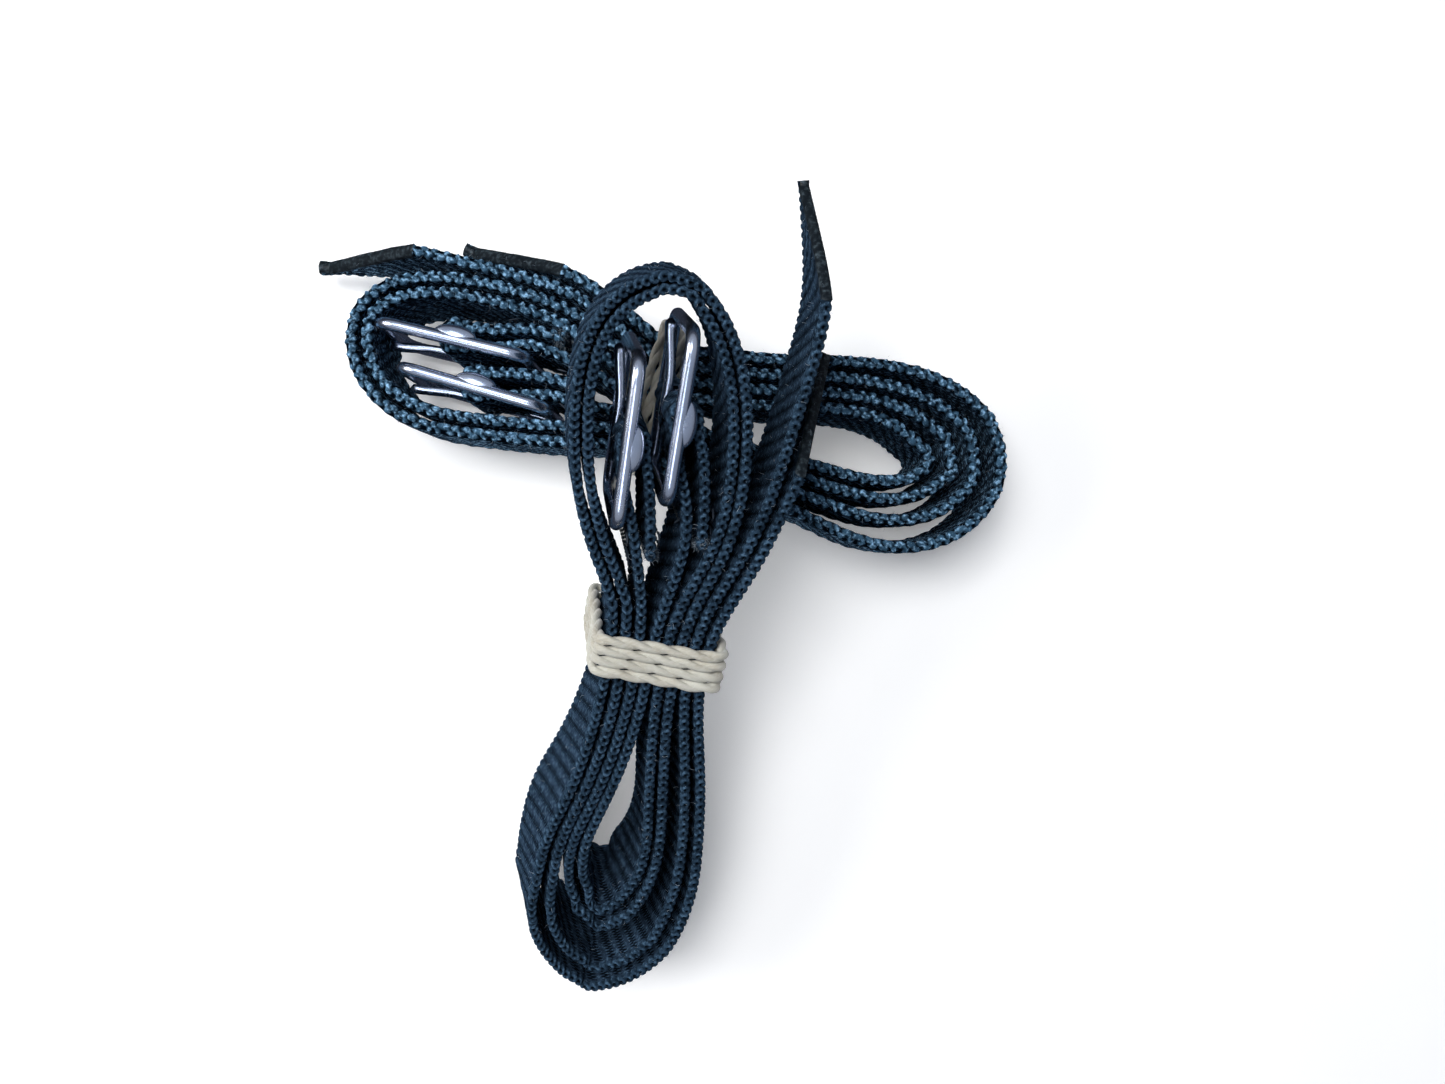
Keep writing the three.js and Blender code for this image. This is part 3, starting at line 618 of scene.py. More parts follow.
def swept_webbing(hank, strap, number):
    """The ribbon as a closed mesh with its slot and slanted tip, and its pattern's coordinates."""
    path, thickness = ribbons[hank, strap], WEB_THICKNESS[hank]
    shape = cross_section(thickness)
    rows, count = len(path["at"]), len(shape)
    through, across = shape[:, 0], shape[:, 1]
    left = path["at"][-1] - path["at"]
    open_height = np.clip(left / TIP_SLANT[hank], 0, 1) * (WEB_WIDTH - TIP_BLUNT) + TIP_BLUNT
    drop = np.clip(WEB_WIDTH - open_height, 0, WEB_WIDTH - TIP_FULLNESS * thickness - TIP_SPARE)
    share = np.clip((across + WEB_WIDTH / 2 - thickness) / (WEB_WIDTH - 2 * thickness), 0, 1)
    y = across[None] - drop[:, None] * share[None]
    points = (
        path["middle"][:, None] + path["side"][:, None] * through[None, :, None]
        + path["way"][:, None] * y[:, :, None]
    )
    out = path["side"][:, None] * shape[None, :, 2, None] + path["way"][:, None] * shape[None, :, 3, None]
    axes = buckles[hank, number]
    forward = (path["middle"] - axes["middle"]) @ axes["long"]
    close = np.linalg.norm(path["middle"] - axes["middle"], axis=1) < NEAR_BAR
    slot_rows = np.flatnonzero((forward > -SLOT_BEHIND_BAR) & close)
    at_slot = np.flatnonzero((shape[:, 3] == 0) & np.isclose(abs(across), SLOT_WIDTH / 2))
    faces = webbing_faces(rows, count, at_slot, slot_rows.min(), slot_rows.max())
    obj = new_object(f"{hank}_{strap}_webbing", points.reshape(-1, 3), faces=faces)
    sealed = (drop[:, None] > 0) * np.clip(MELT_FULL - (across.max() - across)[None] / MELT_REACH, 0, 1)
    face = np.sign(shape[:, 2])
    kept = {
        "along": np.repeat(path["at"], count),
        "slanted": (path["at"][:, None] - RIB_SLANT * (across * face)[None]).ravel(),
        "across": np.tile(across, rows),
        "through": np.tile(shape[:, 2], rows),
        "rim": np.tile(shape[:, 4], rows),
        "sealed": sealed.ravel(),
    }
    for name, values in kept.items():
        obj.data.attributes.new(name, "FLOAT", "POINT").data.foreach_set("value", values.astype(np.float32))
    ways_out = obj.data.attributes.new("out", "FLOAT_VECTOR", "POINT")
    ways_out.data.foreach_set("vector", out.reshape(-1).astype(np.float32))
    return obj


# %% Raise the loops, knots and ribs
SMALL_KNOT_SHARES = ((-0.52, 0.45, 0.3, 0.46), (-0.05, 0.7, 0.18, 0.24))


def spot(turns, through, place, length, breadth):
    """1 on a round spot in the middle of each turn, at a place across the edge, and 0 between."""
    off = ((turns.apply("FRACT") - 0.5) / length) ** 2.0 + ((through - place) / breadth) ** 2.0
    return off.apply("SQRT").ramp(1.2, 0.6)


def relief_tree():
    """Moves a ribbon's points in and out by the weave's rule, and keeps how high each one is."""
    inputs = [
        ("Rib spacing", "Float", 3 * MM), ("Rib depth", "Float", 0.2 * MM),
        ("Loop spacing", "Float", 1.6 * MM), ("Loop depth", "Float", 0.3 * MM),
        ("Pit depth", "Float", 0.4 * MM), ("Loop slant", "Float", 0.45), ("Knots", "Float", 0.0),
        ("Unevenness", "Float", 0.15), ("Seed", "Float", 0.0), ("Finish", "Material", None),
    ]
    tree, value, end = tree_with_inputs("Woven relief", inputs)
    along, slanted, side = named(tree, "along"), named(tree, "slanted"), named(tree, "through")
    through = side.size()
    rim, sealed = named(tree, "rim"), named(tree, "sealed")
    wander = add(
        tree, "ShaderNodeTexNoise", {"noise_dimensions": "4D"}, Scale=420.0, Detail=2.0, W=value["Seed"]
    )
    stray = (Field(tree, wander.outputs["Fac"]) - 0.5) * value["Unevenness"]
    turns = along / value["Loop spacing"] + stray * 2.0
    loop = (turns + through * value["Loop slant"]).wave().ramp(0.0, 0.65)
    pit = spot(turns, through, 0.0, 0.31, 0.62)
    knots = spot(turns, side, 0.5, 0.42, 0.58)
    for place, shift, length, breadth in SMALL_KNOT_SHARES:
        knots = knots.apply("MAXIMUM", spot(turns + shift, side, place, length, breadth))
    crest = ((loop * 0.6 + 0.4) * (pit * -1 + 1)).toward(knots, value["Knots"])
    rib = (slanted / value["Rib spacing"] + stray).wave() ** 0.5
    chain_height = (loop - 1.0) * value["Loop depth"] - pit * value["Pit depth"]
    edge_height = chain_height.toward((knots - 1.0) * value["Loop depth"], value["Knots"])
    face_height = (rib - 1.0) * value["Rib depth"]
    height = face_height.toward(edge_height, rim)
    height = height * (sealed * -1 + 1) + stray * 0.4 * MM
    push = add(tree, "ShaderNodeVectorMath", {"operation": "SCALE"}, Scale=height)
    feed(tree, push.inputs[0], named(tree, "out", "FLOAT_VECTOR"))
    # The crest mask is kept for the finish, which paints shade where it is low, in the pits and gaps.
    kept = store(tree, value["Geometry"], "crest", crest)
    moved = add(tree, "GeometryNodeSetPosition", Geometry=kept, Offset=push)
    finish_tree(tree, end, moved, value["Finish"])
    return tree


RELIEF = relief_tree()
WEAVE = {
    "front": dict(Rib_spacing=3 * MM, Rib_depth=0.25 * MM, Loop_spacing=1.6 * MM, Loop_depth=0.3 * MM,
                  Pit_depth=0.5 * MM, Loop_slant=0.45, Knots=0.0, Unevenness=0.12),
    "rear": dict(Rib_spacing=3.6 * MM, Rib_depth=0.3 * MM, Loop_spacing=2.3 * MM, Loop_depth=0.4 * MM,
                 Pit_depth=0.6 * MM, Loop_slant=0.7, Knots=1.0, Unevenness=0.8),
}
for number, (hank, strap) in enumerate(ribbons):
    web = swept_webbing(hank, strap, dict(STRAPS)[strap])
    grow(web, RELIEF, **WEAVE[hank], Seed=float(number), Finish=WEBBING[hank])
    stand_in(web, f"{hank}_strap_{strap}")
    print(web.name, len(web.data.polygons), "faces")

# %% [markdown]
# Loose fibres
#
# The strap's cut end is folded back round the bar and frays a little, and single filaments stand
# off the weave all along. A tree scatters short bent hairs by a rule: many near the cut end, few
# elsewhere, each with its own length, lean and curl.


# %% Scatter hairs on the webbing
def fibre_finish():
    """Pale blue filaments, some nearly white: painted glints where they would catch the light."""
    made, tree, shader = material("loose fibre", Roughness=0.5)
    # Painted glints: the noise turns some hairs nearly white.
    shade = noise(tree, 900.0, 1.0).ramp(0.4, 0.65)
    dress(tree, shader, Base_Color=blended(tree, shade, (0.03, 0.06, 0.10), (0.42, 0.50, 0.58)))
    return made


def fibre_tree():
    """Short bent hairs on a ribbon, thickest near its cut end and on its rims."""
    inputs = [
        ("Density", "Float", 90000.0), ("Cut end share", "Float", 60.0), ("Cut end reach", "Float", 3 * MM),
        ("Hair length", "Float", 1.1 * MM), ("Hair diameter", "Float", 0.06 * MM), ("Curl", "Float", 0.8),
        ("Seed", "Int", 0), ("Finish", "Material", None),
    ]
    tree, value, end = tree_with_inputs("Loose fibres", inputs)
    seed = value["Seed"]
    near_cut = named(tree, "along").ramp(value["Cut end reach"], 0.0)
    density = value["Density"] * (near_cut * value["Cut end share"] + 0.4 + named(tree, "rim") * 0.6)
    spread = add(
        tree, "GeometryNodeDistributePointsOnFaces", Mesh=value["Geometry"], Density=density, Seed=seed
    )
    hair = add(
        tree, "GeometryNodeCurvePrimitiveBezierSegment", Resolution=5, Start=(0, 0, -0.1),
        Start_Handle=(0, 0, 0.4), End_Handle=(0.2, 0, 0.7), End=(0.6, 0, 0.9),
    )
    radius = value["Hair diameter"] / value["Hair length"] * 0.5
    thin = add(tree, "GeometryNodeCurvePrimitiveCircle", {"mode": "RADIUS"}, Resolution=3, Radius=radius)
    strand = add(tree, "GeometryNodeCurveToMesh", Curve=hair, Profile_Curve=thin, Fill_Caps=True)
    lean = add(tree, "FunctionNodeRandomValue", {"data_type": "FLOAT_VECTOR"}, Seed=seed)
    for limit, sign in enumerate((-1.0, 1.0)):
        swing = add(tree, "ShaderNodeCombineXYZ")
        for axis, share in enumerate((1.0, 1.0, 4.0)):
            feed(tree, swing.inputs[axis], value["Curl"] * (sign * share))
        feed(tree, lean.inputs[limit], swing)
    bent = add(tree, "FunctionNodeEulerToRotation", Euler=lean)
    turned = add(tree, "FunctionNodeRotateRotation", {"rotation_space": "LOCAL"})
    feed(tree, turned.inputs[0], Field(tree, spread.outputs["Rotation"]))
    feed(tree, turned.inputs[1], bent)
    # A random number's inputs 2 and 3 are its least and its greatest value.
    size = add(tree, "FunctionNodeRandomValue", {"data_type": "FLOAT"}, Seed=seed + 1)
    for limit, share in ((2, 0.3), (3, 1.0)):
        feed(tree, size.inputs[limit], value["Hair length"] * share)
    placed = add(
        tree, "GeometryNodeInstanceOnPoints", Points=spread, Instance=strand, Rotation=turned,
        Scale=Field(tree, size.outputs[1]),
    )
    finish_tree(tree, end, placed, value["Finish"])
    return tree


FIBRE, FIBRES = fibre_finish(), fibre_tree()
FIRST_SEED = 7
for number, (hank, strap) in enumerate(ribbons):
    web = bpy.data.objects[f"{hank}_{strap}_webbing"]
    fuzz = bpy.data.objects.new(f"{hank}_{strap}_fibres", web.data.copy())
    bpy.context.scene.collection.objects.link(fuzz)
    grow(fuzz, FIBRES, Seed=FIRST_SEED + number, Finish=FIBRE)
    stand_in(fuzz, f"{hank}_strap_{strap}")
    print(fuzz.name, len(fuzz.data.polygons), "faces")

# %% [markdown]
# Polished buckles
#
# The buckle is cast, then polished: a ring of round rod with soft corners, a heel bar across it,
# and a swelling on each side rail where the bar ends. A sweep of a round section gives the soft
# shading that a bevelled block can't. The swelling is an egg-shaped body set into the rail,
# nearly as wide as the rod and higher than it. The metal is almost a mirror, with faint rubbing
# marks that widen its highlights.


# %% Metal finish
def metal_finish():
    """Bright cast metal with slight tarnish and fine rubbing marks."""
    made, tree, shader = material("polished metal", Metallic=1.0)
    tarnish = noise(tree, 90.0, 3.0).ramp(0.3, 0.8)
    dress(
        tree, shader, Base_Color=blended(tree, tarnish, (0.58, 0.63, 0.76), (0.80, 0.83, 0.92)),
        Roughness=noise(tree, 320.0, 5.0) * 0.16 + 0.17,
        Normal=bump(tree, noise(tree, 500.0, 4.0), 0.03 * MM, 0.35),
    )
    return made


METAL = metal_finish()


# %% A tube along a path, with its own oval section at each step
def tube(path, radii_a, radii_b, way_a, way_b, sides, closed):
    """Points and faces of a tube round a path, in ways a and b."""
    turn = np.linspace(0, 2 * math.pi, sides, endpoint=False)
    ring = (
        np.cos(turn)[None, :, None] * way_a[:, None] * radii_a[:, None, None]
        + np.sin(turn)[None, :, None] * way_b[:, None] * radii_b[:, None, None]
    )
    points = (path[:, None] + ring).reshape(-1, 3)
    rows = len(path)
    faces = []
    for i in range(rows if closed else rows - 1):
        n = (i + 1) % rows
        for j in range(sides):
            k = (j + 1) % sides
            faces.append((i * sides + j, i * sides + k, n * sides + k, n * sides + j))
    if not closed:
        faces.append(tuple(range(sides))[::-1])
        faces.append(tuple((rows - 1) * sides + j for j in range(sides)))
    return points, faces


def outward(obj):
    """The mesh with its faces turned outward."""
    bm = bmesh.new()
    bm.from_mesh(obj.data)
    bmesh.ops.recalc_face_normals(bm, faces=bm.faces)
    bm.to_mesh(obj.data)
    bm.free()
    for face in obj.data.polygons:
        face.use_smooth = True
    return obj


# %% Buckle rings
ROD, BAR, BAR_OFFSET = 2.6 * MM, 2.8 * MM, 1.2 * MM
RING_REACH, RING_LENGTH, RING_HALF, CORNER = 17 * MM, 33 * MM, 15.5 * MM, 5 * MM
BOSS_LENGTH, BOSS_TOP = 8.6 * MM, 1.85 * MM
BOSS_POINT, BOSS_WIDTH_SHARE, BOSS_HEIGHT_SHARE = 0.04, 0.97, 0.98
RING_SIDES, BAR_SIDES, BOSS_STEPS, BOSS_SIDES = 24, 20, 20, 20


def ring_path(arc_points=7, steps=22):
    """The middle of the ring's rod, in the buckle's long and bar ways."""
    radius, middle = CORNER - ROD / 2, RING_REACH - RING_LENGTH / 2
    x, y = RING_LENGTH / 2 - CORNER, RING_HALF - CORNER
    arcs = []
    for quarter, (sx, sy) in enumerate(((1, 1), (-1, 1), (-1, -1), (1, -1))):
        turns = np.linspace(quarter, quarter + 1, arc_points) * math.pi / 2
        centre = np.array([middle + sx * x, sy * y])
        arcs.append(centre + radius * np.column_stack([np.cos(turns), np.sin(turns)]))
    share = np.linspace(0, 1, steps, endpoint=False)[1:, None]
    line = []
    for arc, following in zip(arcs, arcs[1:] + arcs[:1]):
        line += [arc, arc[-1] + (following[0] - arc[-1]) * share]
    return np.vstack(line)


def in_space(axes, local):
    """Points in the buckle's own ways, put in the part's frame."""
    return axes["middle"] + local @ np.array([axes["long"], axes["bar"], axes["facing"]])


def boss(place):
    """The swelling on a side rail round the end of the bar: egg-shaped, longer than it is high."""
    turn = np.linspace(BOSS_POINT, math.pi - BOSS_POINT, BOSS_STEPS)
    reach = (BOSS_TOP + BAR_OFFSET + ROD / 2) / 2
    path = np.array([(-BOSS_LENGTH / 2 * math.cos(t), place, BOSS_TOP - reach) for t in turn])
    across, up = np.tile([0.0, 1, 0], (BOSS_STEPS, 1)), np.tile([0.0, 0, 1], (BOSS_STEPS, 1))
    wide, high = np.sin(turn) * ROD / 2 * BOSS_WIDTH_SHARE, np.sin(turn) * reach * BOSS_HEIGHT_SHARE
    return tube(path, wide, high, across, up, BOSS_SIDES, False)


def buckle_ring(hank, number):
    """The rod's ring, the heel bar and two swellings, as one piece."""
    flat = ring_path()
    path = np.column_stack([flat, np.full(len(flat), -BAR_OFFSET)])
    onward = unit(np.roll(path, -1, 0) - np.roll(path, 1, 0))
    up = np.tile([0.0, 0, 1], (len(path), 1))
    size = np.full(len(path), ROD / 2)
    rail = RING_HALF - ROD / 2
    ends, bar_size = np.array([[0, -rail, 0], [0, rail, 0.0]]), np.full(2, BAR / 2)
    ways = np.tile([1.0, 0, 0], (2, 1)), np.tile([0.0, 0, 1], (2, 1))
    parts = [
        tube(path, size, size, np.cross(onward, up), up, RING_SIDES, True),
        tube(ends, bar_size, bar_size, *ways, BAR_SIDES, False), boss(-rail), boss(rail),
    ]
    starts = np.cumsum([0] + [len(points) for points, _ in parts])
    faces = [tuple(i + start for i in face) for start, (_, own) in zip(starts, parts) for face in own]
    points = in_space(buckles[hank, number], np.vstack([points for points, _ in parts]))
    obj = outward(new_object(f"{hank}_buckle_ring_{number}", points, faces=faces))
    obj.data.materials.append(METAL)
    stand_in(obj, f"{hank}_buckle_frame_{number}")
    return obj


# %% Buckle tongues
TONGUE_WIDTH, TONGUE_WALL, TONGUE_THICKNESS, GAP = 3.4 * MM, 1.7 * MM, 2.0 * MM, 0.3 * MM
TONGUE_BOW, TIP_WIDTH_SHARE, CUT_WALL_SHARE = 0.6 * MM, 0.86, 0.96
TIP_ROUNDING, CUT_ROUNDING = (0.05 * MM, 1.1 * MM), (0.1 * MM, 0.6 * MM)
WRAP_STEPS, WRAP_START, WRAP_END, TONGUE_SIDES = 30, 118, -170, 28
SQUARENESS, MOST_WIDENING = 3.2, 1.3


def tongue_path():
    """The tongue's middle line from the end of its wrap round the bar to its tip, long and facing."""
    radius = BAR / 2 + GAP + TONGUE_WALL / 2
    turns = np.radians(np.linspace(WRAP_START, WRAP_END, WRAP_STEPS))
    wrap = np.column_stack([radius * np.sin(turns), radius * np.cos(turns)])
    tip = np.array([RING_REACH - TONGUE_THICKNESS / 2, -BAR_OFFSET - ROD / 2 - GAP - TONGUE_THICKNESS / 2])
    share = np.linspace(0, 1, WRAP_STEPS)[1:, None]
    stem = wrap[-1] + (tip - wrap[-1]) * share
    stem[:, 1] += TONGUE_BOW * np.sin(math.pi * share[:, 0] ** 0.8) ** 2
    return np.vstack([wrap, stem])


def rounded(distance, start, reach):
    """How full a rod is at a distance from its end, where it rounds off over a reach."""
    return np.sqrt(np.clip(1 - np.clip(1 - (distance + start) / reach, 0, 1) ** 2, 0, 1))


def squared(points, path, wide, thick):
    """An oval tube's points, moved out towards the corners, as on a flattened rod."""
    middle = np.repeat(path, TONGUE_SIDES, 0)
    away = points - middle
    y = abs(away[:, 1]) / np.repeat(wide, TONGUE_SIDES)
    t = np.linalg.norm(away[:, [0, 2]], axis=1) / np.repeat(thick, TONGUE_SIDES)
    level = (y ** SQUARENESS + t ** SQUARENESS) ** (1 / SQUARENESS)
    square = 1 / np.maximum(1e-6, level / np.maximum(1e-6, np.hypot(y, t)))
    return middle + away * np.minimum(square, MOST_WIDENING)[:, None]


def buckle_tongue(hank, number):
    """The tongue, bent round the bar and flattened, with rounded ends."""
    flat = tongue_path()
    path = np.column_stack([flat[:, 0], np.zeros(len(flat)), flat[:, 1]])
    onward = unit(np.gradient(path, axis=0))
    across = np.tile([0.0, 1, 0], (len(path), 1))
    run = np.concatenate([[0], np.cumsum(np.linalg.norm(np.diff(path, axis=0), axis=1))])
    full = rounded(run[-1] - run, *TIP_ROUNDING) * rounded(run, *CUT_ROUNDING)
    places = [0, run[WRAP_STEPS - 1], run[-1]]
    thick = np.interp(run, places, [TONGUE_WALL * CUT_WALL_SHARE, TONGUE_WALL, TONGUE_THICKNESS]) / 2
    wide = np.interp(run, places, [TONGUE_WIDTH, TONGUE_WIDTH, TONGUE_WIDTH * TIP_WIDTH_SHARE]) / 2
    facing = np.cross(onward, across)
    local, faces = tube(path, wide * full, thick * full, across, facing, TONGUE_SIDES, False)
    points = in_space(buckles[hank, number], squared(local, path, wide, thick))
    obj = outward(new_object(f"{hank}_buckle_pin_{number}", points, faces=faces))
    obj.data.materials.append(METAL)
    stand_in(obj, f"{hank}_buckle_tongue_{number}")
    return obj


for hank in HANKS:
    for _, number in STRAPS:
        ring, pin = buckle_ring(hank, number), buckle_tongue(hank, number)
        print(ring.name, len(ring.data.polygons), pin.name, len(pin.data.polygons))

# %% [markdown]
# The cotton ties
#
# Four turns of soft two-ply cord hold each hank. Two plies that wind round each other follow the
# cord's path by a rule, so a Geometry Nodes tree makes them: it copies the path once for each
# ply, pushes each copy out to its own side, and turns that side as the length grows. The CAD cord
# is a plain rod, and its rings of points give the path back.


# %% Read a rod's middle line
CAP_ANGLE = math.radians(75)


def rod_line(node):
    """The centres of a CAD rod's rings, from one end to the other."""
    bm = bmesh.new()
    bm.from_mesh(frame["nodes"][node].data)
    bmesh.ops.remove_doubles(bm, verts=bm.verts, dist=DOUBLED)
    caps = [e for e in bm.edges if e.calc_face_angle() > CAP_ANGLE]
    ring = {caps[0].verts[0]}
    grown = True
    while grown:
        grown = {v for e in caps for v in e.verts if set(e.verts) & ring} - ring
        ring |= grown
    seen, line = set(ring), []
    while ring:
        line.append(sum((v.co for v in ring), Vector()) / len(ring))
        ring = {e.other_vert(v) for v in ring for e in v.link_edges} - seen
        seen |= ring
    bm.free()
    return np.array(line)


# %% Cotton finish
def cotton_finish():
    """Undyed cotton: cream with darker clouds, and fine fibres that run along the plies."""
    made, tree, shader = material("cotton cord", Sheen_Weight=0.3, Roughness=0.9)
    around, along = attribute(tree, "ply_around"), attribute(tree, "ply_along")
    fibres = add(tree, "ShaderNodeCombineXYZ")
    feed(tree, fibres.inputs[0], along * 0.35)
    feed(tree, fibres.inputs[1], around * 4 * MM + along * 0.5)
    strands = noise(tree, 2600.0, 3.0, 0.65, fibres)
    stain = noise(tree, 120.0, 3.0)
    base = blended(tree, stain.ramp(0.35, 0.75), (0.50, 0.49, 0.42), (0.38, 0.34, 0.26))
    colour = blended(tree, strands.ramp(0.35, 0.7) * 0.5, base, (0.60, 0.60, 0.56))
    dress(tree, shader, Base_Color=colour, Normal=bump(tree, strands, 0.15 * MM, 0.7))
    return made


COTTON = cotton_finish()


# %% Twist plies round a path
def laid_cord_tree():
    """Plies that wind round each other along a line."""
    inputs = [
        ("Plies", "Int", 2), ("Lay length", "Float", 10.5 * MM), ("Ply offset", "Float", 0.4 * MM),
        ("Ply diameter", "Float", 1.5 * MM), ("Step", "Float", 0.35 * MM), ("Finish", "Material", None),
    ]
    tree, value, end = tree_with_inputs("Laid cord", inputs)
    line = add(tree, "GeometryNodeMeshToCurve", Mesh=value["Geometry"])
    fine = add(tree, "GeometryNodeResampleCurve", {"mode": "LENGTH"}, Curve=line, Length=value["Step"])
    copies = add(
        tree, "GeometryNodeDuplicateElements", {"domain": "SPLINE"}, Geometry=fine, Amount=value["Plies"]
    )
    run = Field(tree, add(tree, "GeometryNodeSplineParameter").outputs["Length"])
    which = Field(tree, copies.outputs["Duplicate Index"])
    angle = (run / value["Lay length"] + which / value["Plies"]) * (2 * math.pi)
    normal, tangent = add(tree, "GeometryNodeInputNormal"), add(tree, "GeometryNodeInputTangent")
    turned = add(
        tree, "ShaderNodeVectorRotate", {"rotation_type": "AXIS_ANGLE"}, Vector=normal, Axis=tangent,
        Angle=angle,
    )
    push = add(tree, "ShaderNodeVectorMath", {"operation": "SCALE"}, Scale=value["Ply offset"])
    feed(tree, push.inputs[0], turned)
    moved = add(tree, "GeometryNodeSetPosition", Geometry=copies, Offset=push)
    kept = store(tree, moved, "ply_along", run)
    radius = value["Ply diameter"] * 0.5
    circle = add(tree, "GeometryNodeCurvePrimitiveCircle", {"mode": "RADIUS"}, Resolution=12, Radius=radius)
    factor = Field(tree, add(tree, "GeometryNodeSplineParameter").outputs["Factor"])
    profile = store(tree, circle, "ply_around", factor)
    plies = add(tree, "GeometryNodeCurveToMesh", Curve=kept, Profile_Curve=profile, Fill_Caps=True)
    finish_tree(tree, end, plies, value["Finish"])
    return tree


LAID_CORD = laid_cord_tree()


def path_object(name, line):
    """A line of points as an object, each linked to the next."""
    return new_object(name, line, edges=[(i, i + 1) for i in range(len(line) - 1)])


for hank in HANKS:
    line = rod_line(f"{hank}_tie_cord")
    line = smooth_line(line, line, 6)
    length = np.linalg.norm(np.diff(line, axis=0), axis=1).sum()
    tie = grow(path_object(f"{hank}_cotton_tie", line), LAID_CORD, Finish=COTTON)
    outward(tie)
    stand_in(tie, f"{hank}_tie_cord")
    print(f"{hank} tie: {length * 1000:.0f} mm of cord, {len(tie.data.polygons)} faces")

# %% [markdown]
# Sewn seams
#
# A few rows of dark thread hold each fold shut round its heel bar. A seam is the same stitch many
# times over, so a tree sets one small rounded stitch at even steps along the thread's path.


# %% Thread finish
def thread_finish():
    """Dark bonded thread with a slight shine."""
    made, tree, shader = material("sewing thread", Roughness=0.45)
    twist = noise(tree, 3000.0, 2.0)
    colour = blended(tree, twist, (0.004, 0.006, 0.010), (0.02, 0.03, 0.045))
    dress(tree, shader, Base_Color=colour, Normal=bump(tree, twist, 0.05 * MM, 0.6))
    return made


THREAD = thread_finish()


# %% Set stitches along a path
def stitches_tree():
    """Rounded stitches end to end along a line."""
    inputs = [
        ("Stitch length", "Float", 2.4 * MM), ("Thread diameter", "Float", 0.42 * MM),
        ("Fill", "Float", 0.93), ("Finish", "Material", None),
    ]
    tree, value, end = tree_with_inputs("Stitches", inputs)
    line = add(tree, "GeometryNodeMeshToCurve", Mesh=value["Geometry"])
    length = value["Stitch length"]
    steps = add(tree, "GeometryNodeResampleCurve", {"mode": "LENGTH"}, Curve=line, Length=length)
    ball = add(tree, "GeometryNodeMeshUVSphere", Segments=8, Rings=7, Radius=0.5)
    thread = value["Thread diameter"]
    stretch = add(tree, "ShaderNodeCombineXYZ", X=thread, Y=thread, Z=length * value["Fill"])
    tangent = add(tree, "GeometryNodeInputTangent")
    lie = add(tree, "FunctionNodeAlignRotationToVector", {"axis": "Z"}, Vector=tangent)
    placed = add(
        tree, "GeometryNodeInstanceOnPoints", Points=steps, Instance=ball, Rotation=lie, Scale=stretch
    )
    finish_tree(tree, end, placed, value["Finish"])
    return tree


STITCHES = stitches_tree()
for hank in HANKS:
    for _, number in STRAPS:
        for kind in ("needle", "bobbin"):
            node = f"{hank}_{kind}_thread_{number}"
            path = path_object(f"{hank}_{kind}_stitches_{number}", rod_line(node))
            seam = grow(path, STITCHES, Finish=THREAD)
            stand_in(seam, node)
            print(seam.name, len(seam.data.polygons), "faces")

# %% [markdown]
# Table, light and camera
#
# The photograph looks straight down from a quarter of a metre, in even light, on white. Two soft
# lamps, above and at the left, light the webbing, and a floor that glows faintly keeps the ground
# clean. Polished metal shows only what is round it, so a broad card and two smaller ones, which
# nothing but reflections can see, give it its grey tones and its bright streaks.


# %% Floor
FLOOR_REACH = 3.0


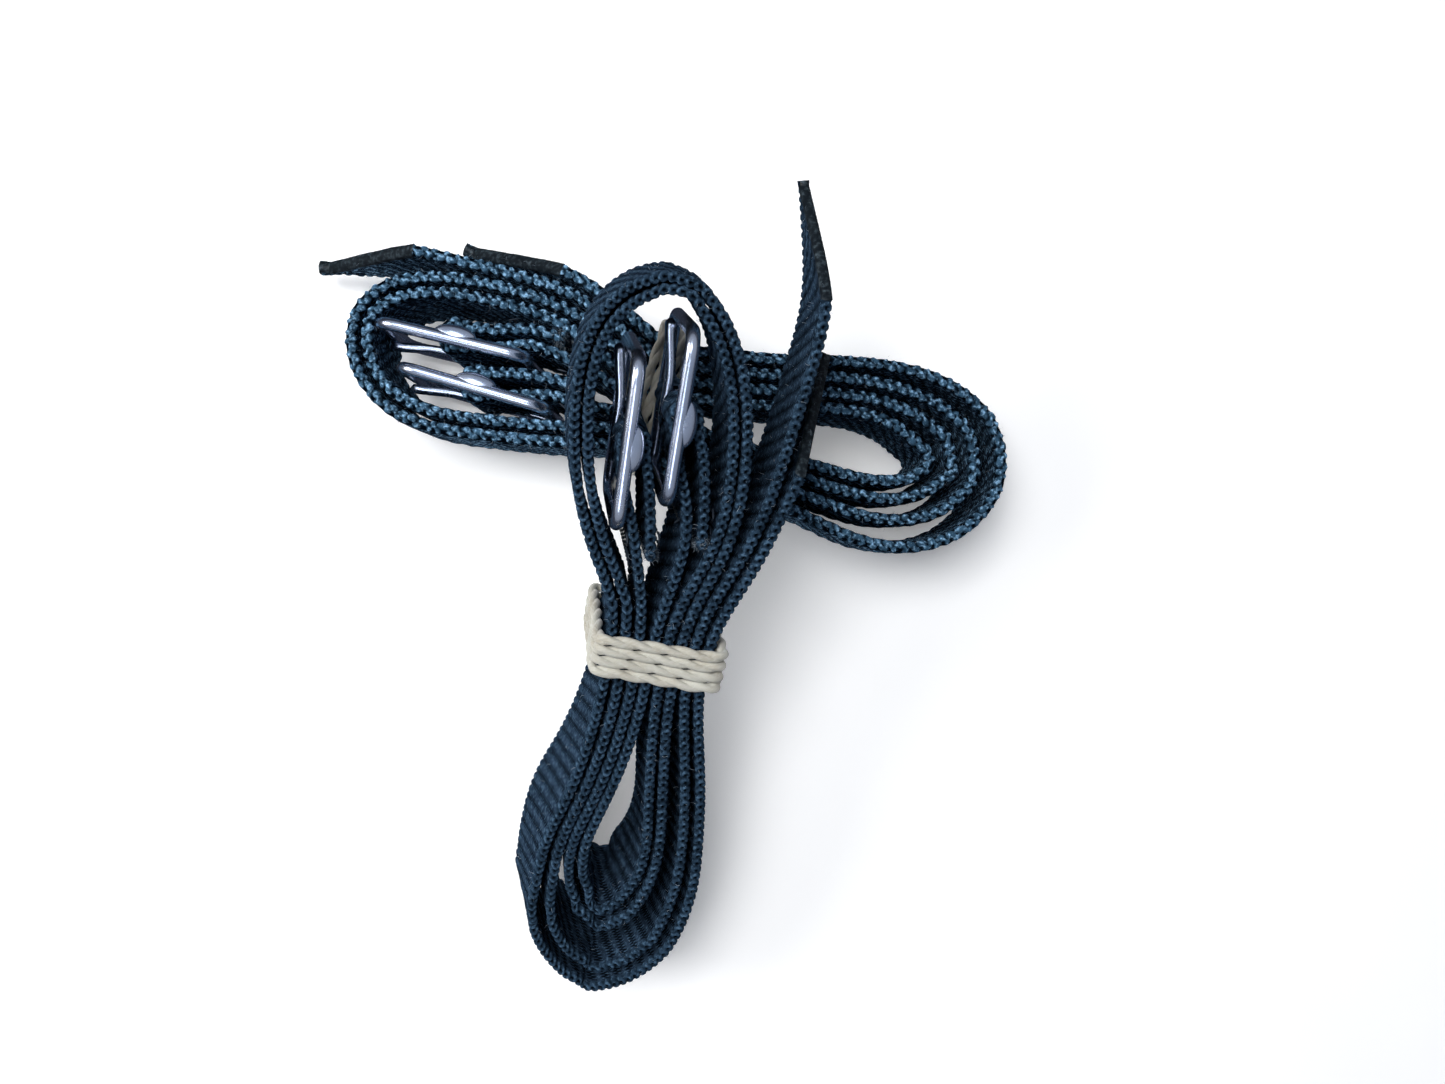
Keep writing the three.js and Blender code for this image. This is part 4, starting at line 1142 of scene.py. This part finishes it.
def floor():
    """A square of pale floor round the part, which the metal doesn't reflect."""
    corners = [(x * FLOOR_REACH, y * FLOOR_REACH, 0) for x, y in ((-1, -1), (1, -1), (1, 1), (-1, 1))]
    obj = new_object("table", corners, faces=[(0, 1, 2, 3)])
    glow = {"Emission_Color": (1, 1, 1, 1), "Emission_Strength": 0.25}
    made, tree, shader = material("pale table", Roughness=0.9, **glow)
    soft = noise(tree, 30.0, 2.0)
    dress(tree, shader, Base_Color=blended(tree, soft, (0.86, 0.86, 0.86), (0.90, 0.90, 0.90)))
    obj.data.materials.append(made)
    obj.visible_glossy = False


floor()


# %% Lamps
def lamp(name, place, target, size, watts, colour=(1, 1, 1)):
    """A square lamp in a place, turned to a target."""
    data = bpy.data.lights.new(name, "AREA")
    data.energy, data.size, data.color = watts, size, colour
    obj = bpy.data.objects.new(name, data)
    obj.location = place
    obj.rotation_euler = (Vector(target) - Vector(place)).to_track_quat("-Z", "Y").to_euler()
    bpy.context.scene.collection.objects.link(obj)
    return obj


lamp("key", (-0.14, 0.2, 0.8), (0, 0, 0), 0.4, 6.0).visible_glossy = False
lamp("side", (-0.55, 0.12, 0.45), (0, 0, 0.03), 0.3, 2.4)
REFLECTED = (
    ("card", (0, -0.1, 0.6), 3.6, 11.0), ("streak on the front", (-0.2, -0.42, 0.8), 0.22, 0.8),
    ("streak on the rear", (-0.16, 0.16, 0.8), 0.34, 1.7),
)
COOL = (0.78, 0.87, 1.0)
for name, place, size, watts in REFLECTED:
    lamp(name, place, (0, 0, 0), size, watts, COOL).visible_diffuse = False


# %% Sky
def sky(low, high):
    """A sky that darkens towards the horizon, so that round metal shades off to its edges."""
    world = bpy.data.worlds.new("studio")
    world.use_nodes = True
    tree = world.node_tree
    split = tree.nodes.new("ShaderNodeSeparateXYZ")
    tree.links.new(tree.nodes.new("ShaderNodeTexCoord").outputs["Generated"], split.inputs[0])
    rise = Field(tree, split.outputs[2]).ramp(0.25, 0.95)
    feed(tree, tree.nodes["Background"].inputs["Color"], blended(tree, rise, low, high))
    bpy.context.scene.world = world


sky((0.03, 0.035, 0.05), (0.10, 0.12, 0.16))
bpy.context.scene.view_settings.view_transform = "Standard"

# %% Camera at the photograph's view
VIEW_POINT, LENS, SENSOR = (0.01482, 0.01333, 0.24998), 27.03, 36
camera = bpy.data.objects.new("camera", bpy.data.cameras.new("camera"))
camera.location = VIEW_POINT
camera.data.lens, camera.data.sensor_width = LENS, SENSOR
bpy.context.scene.collection.objects.link(camera)
bpy.context.scene.camera = camera
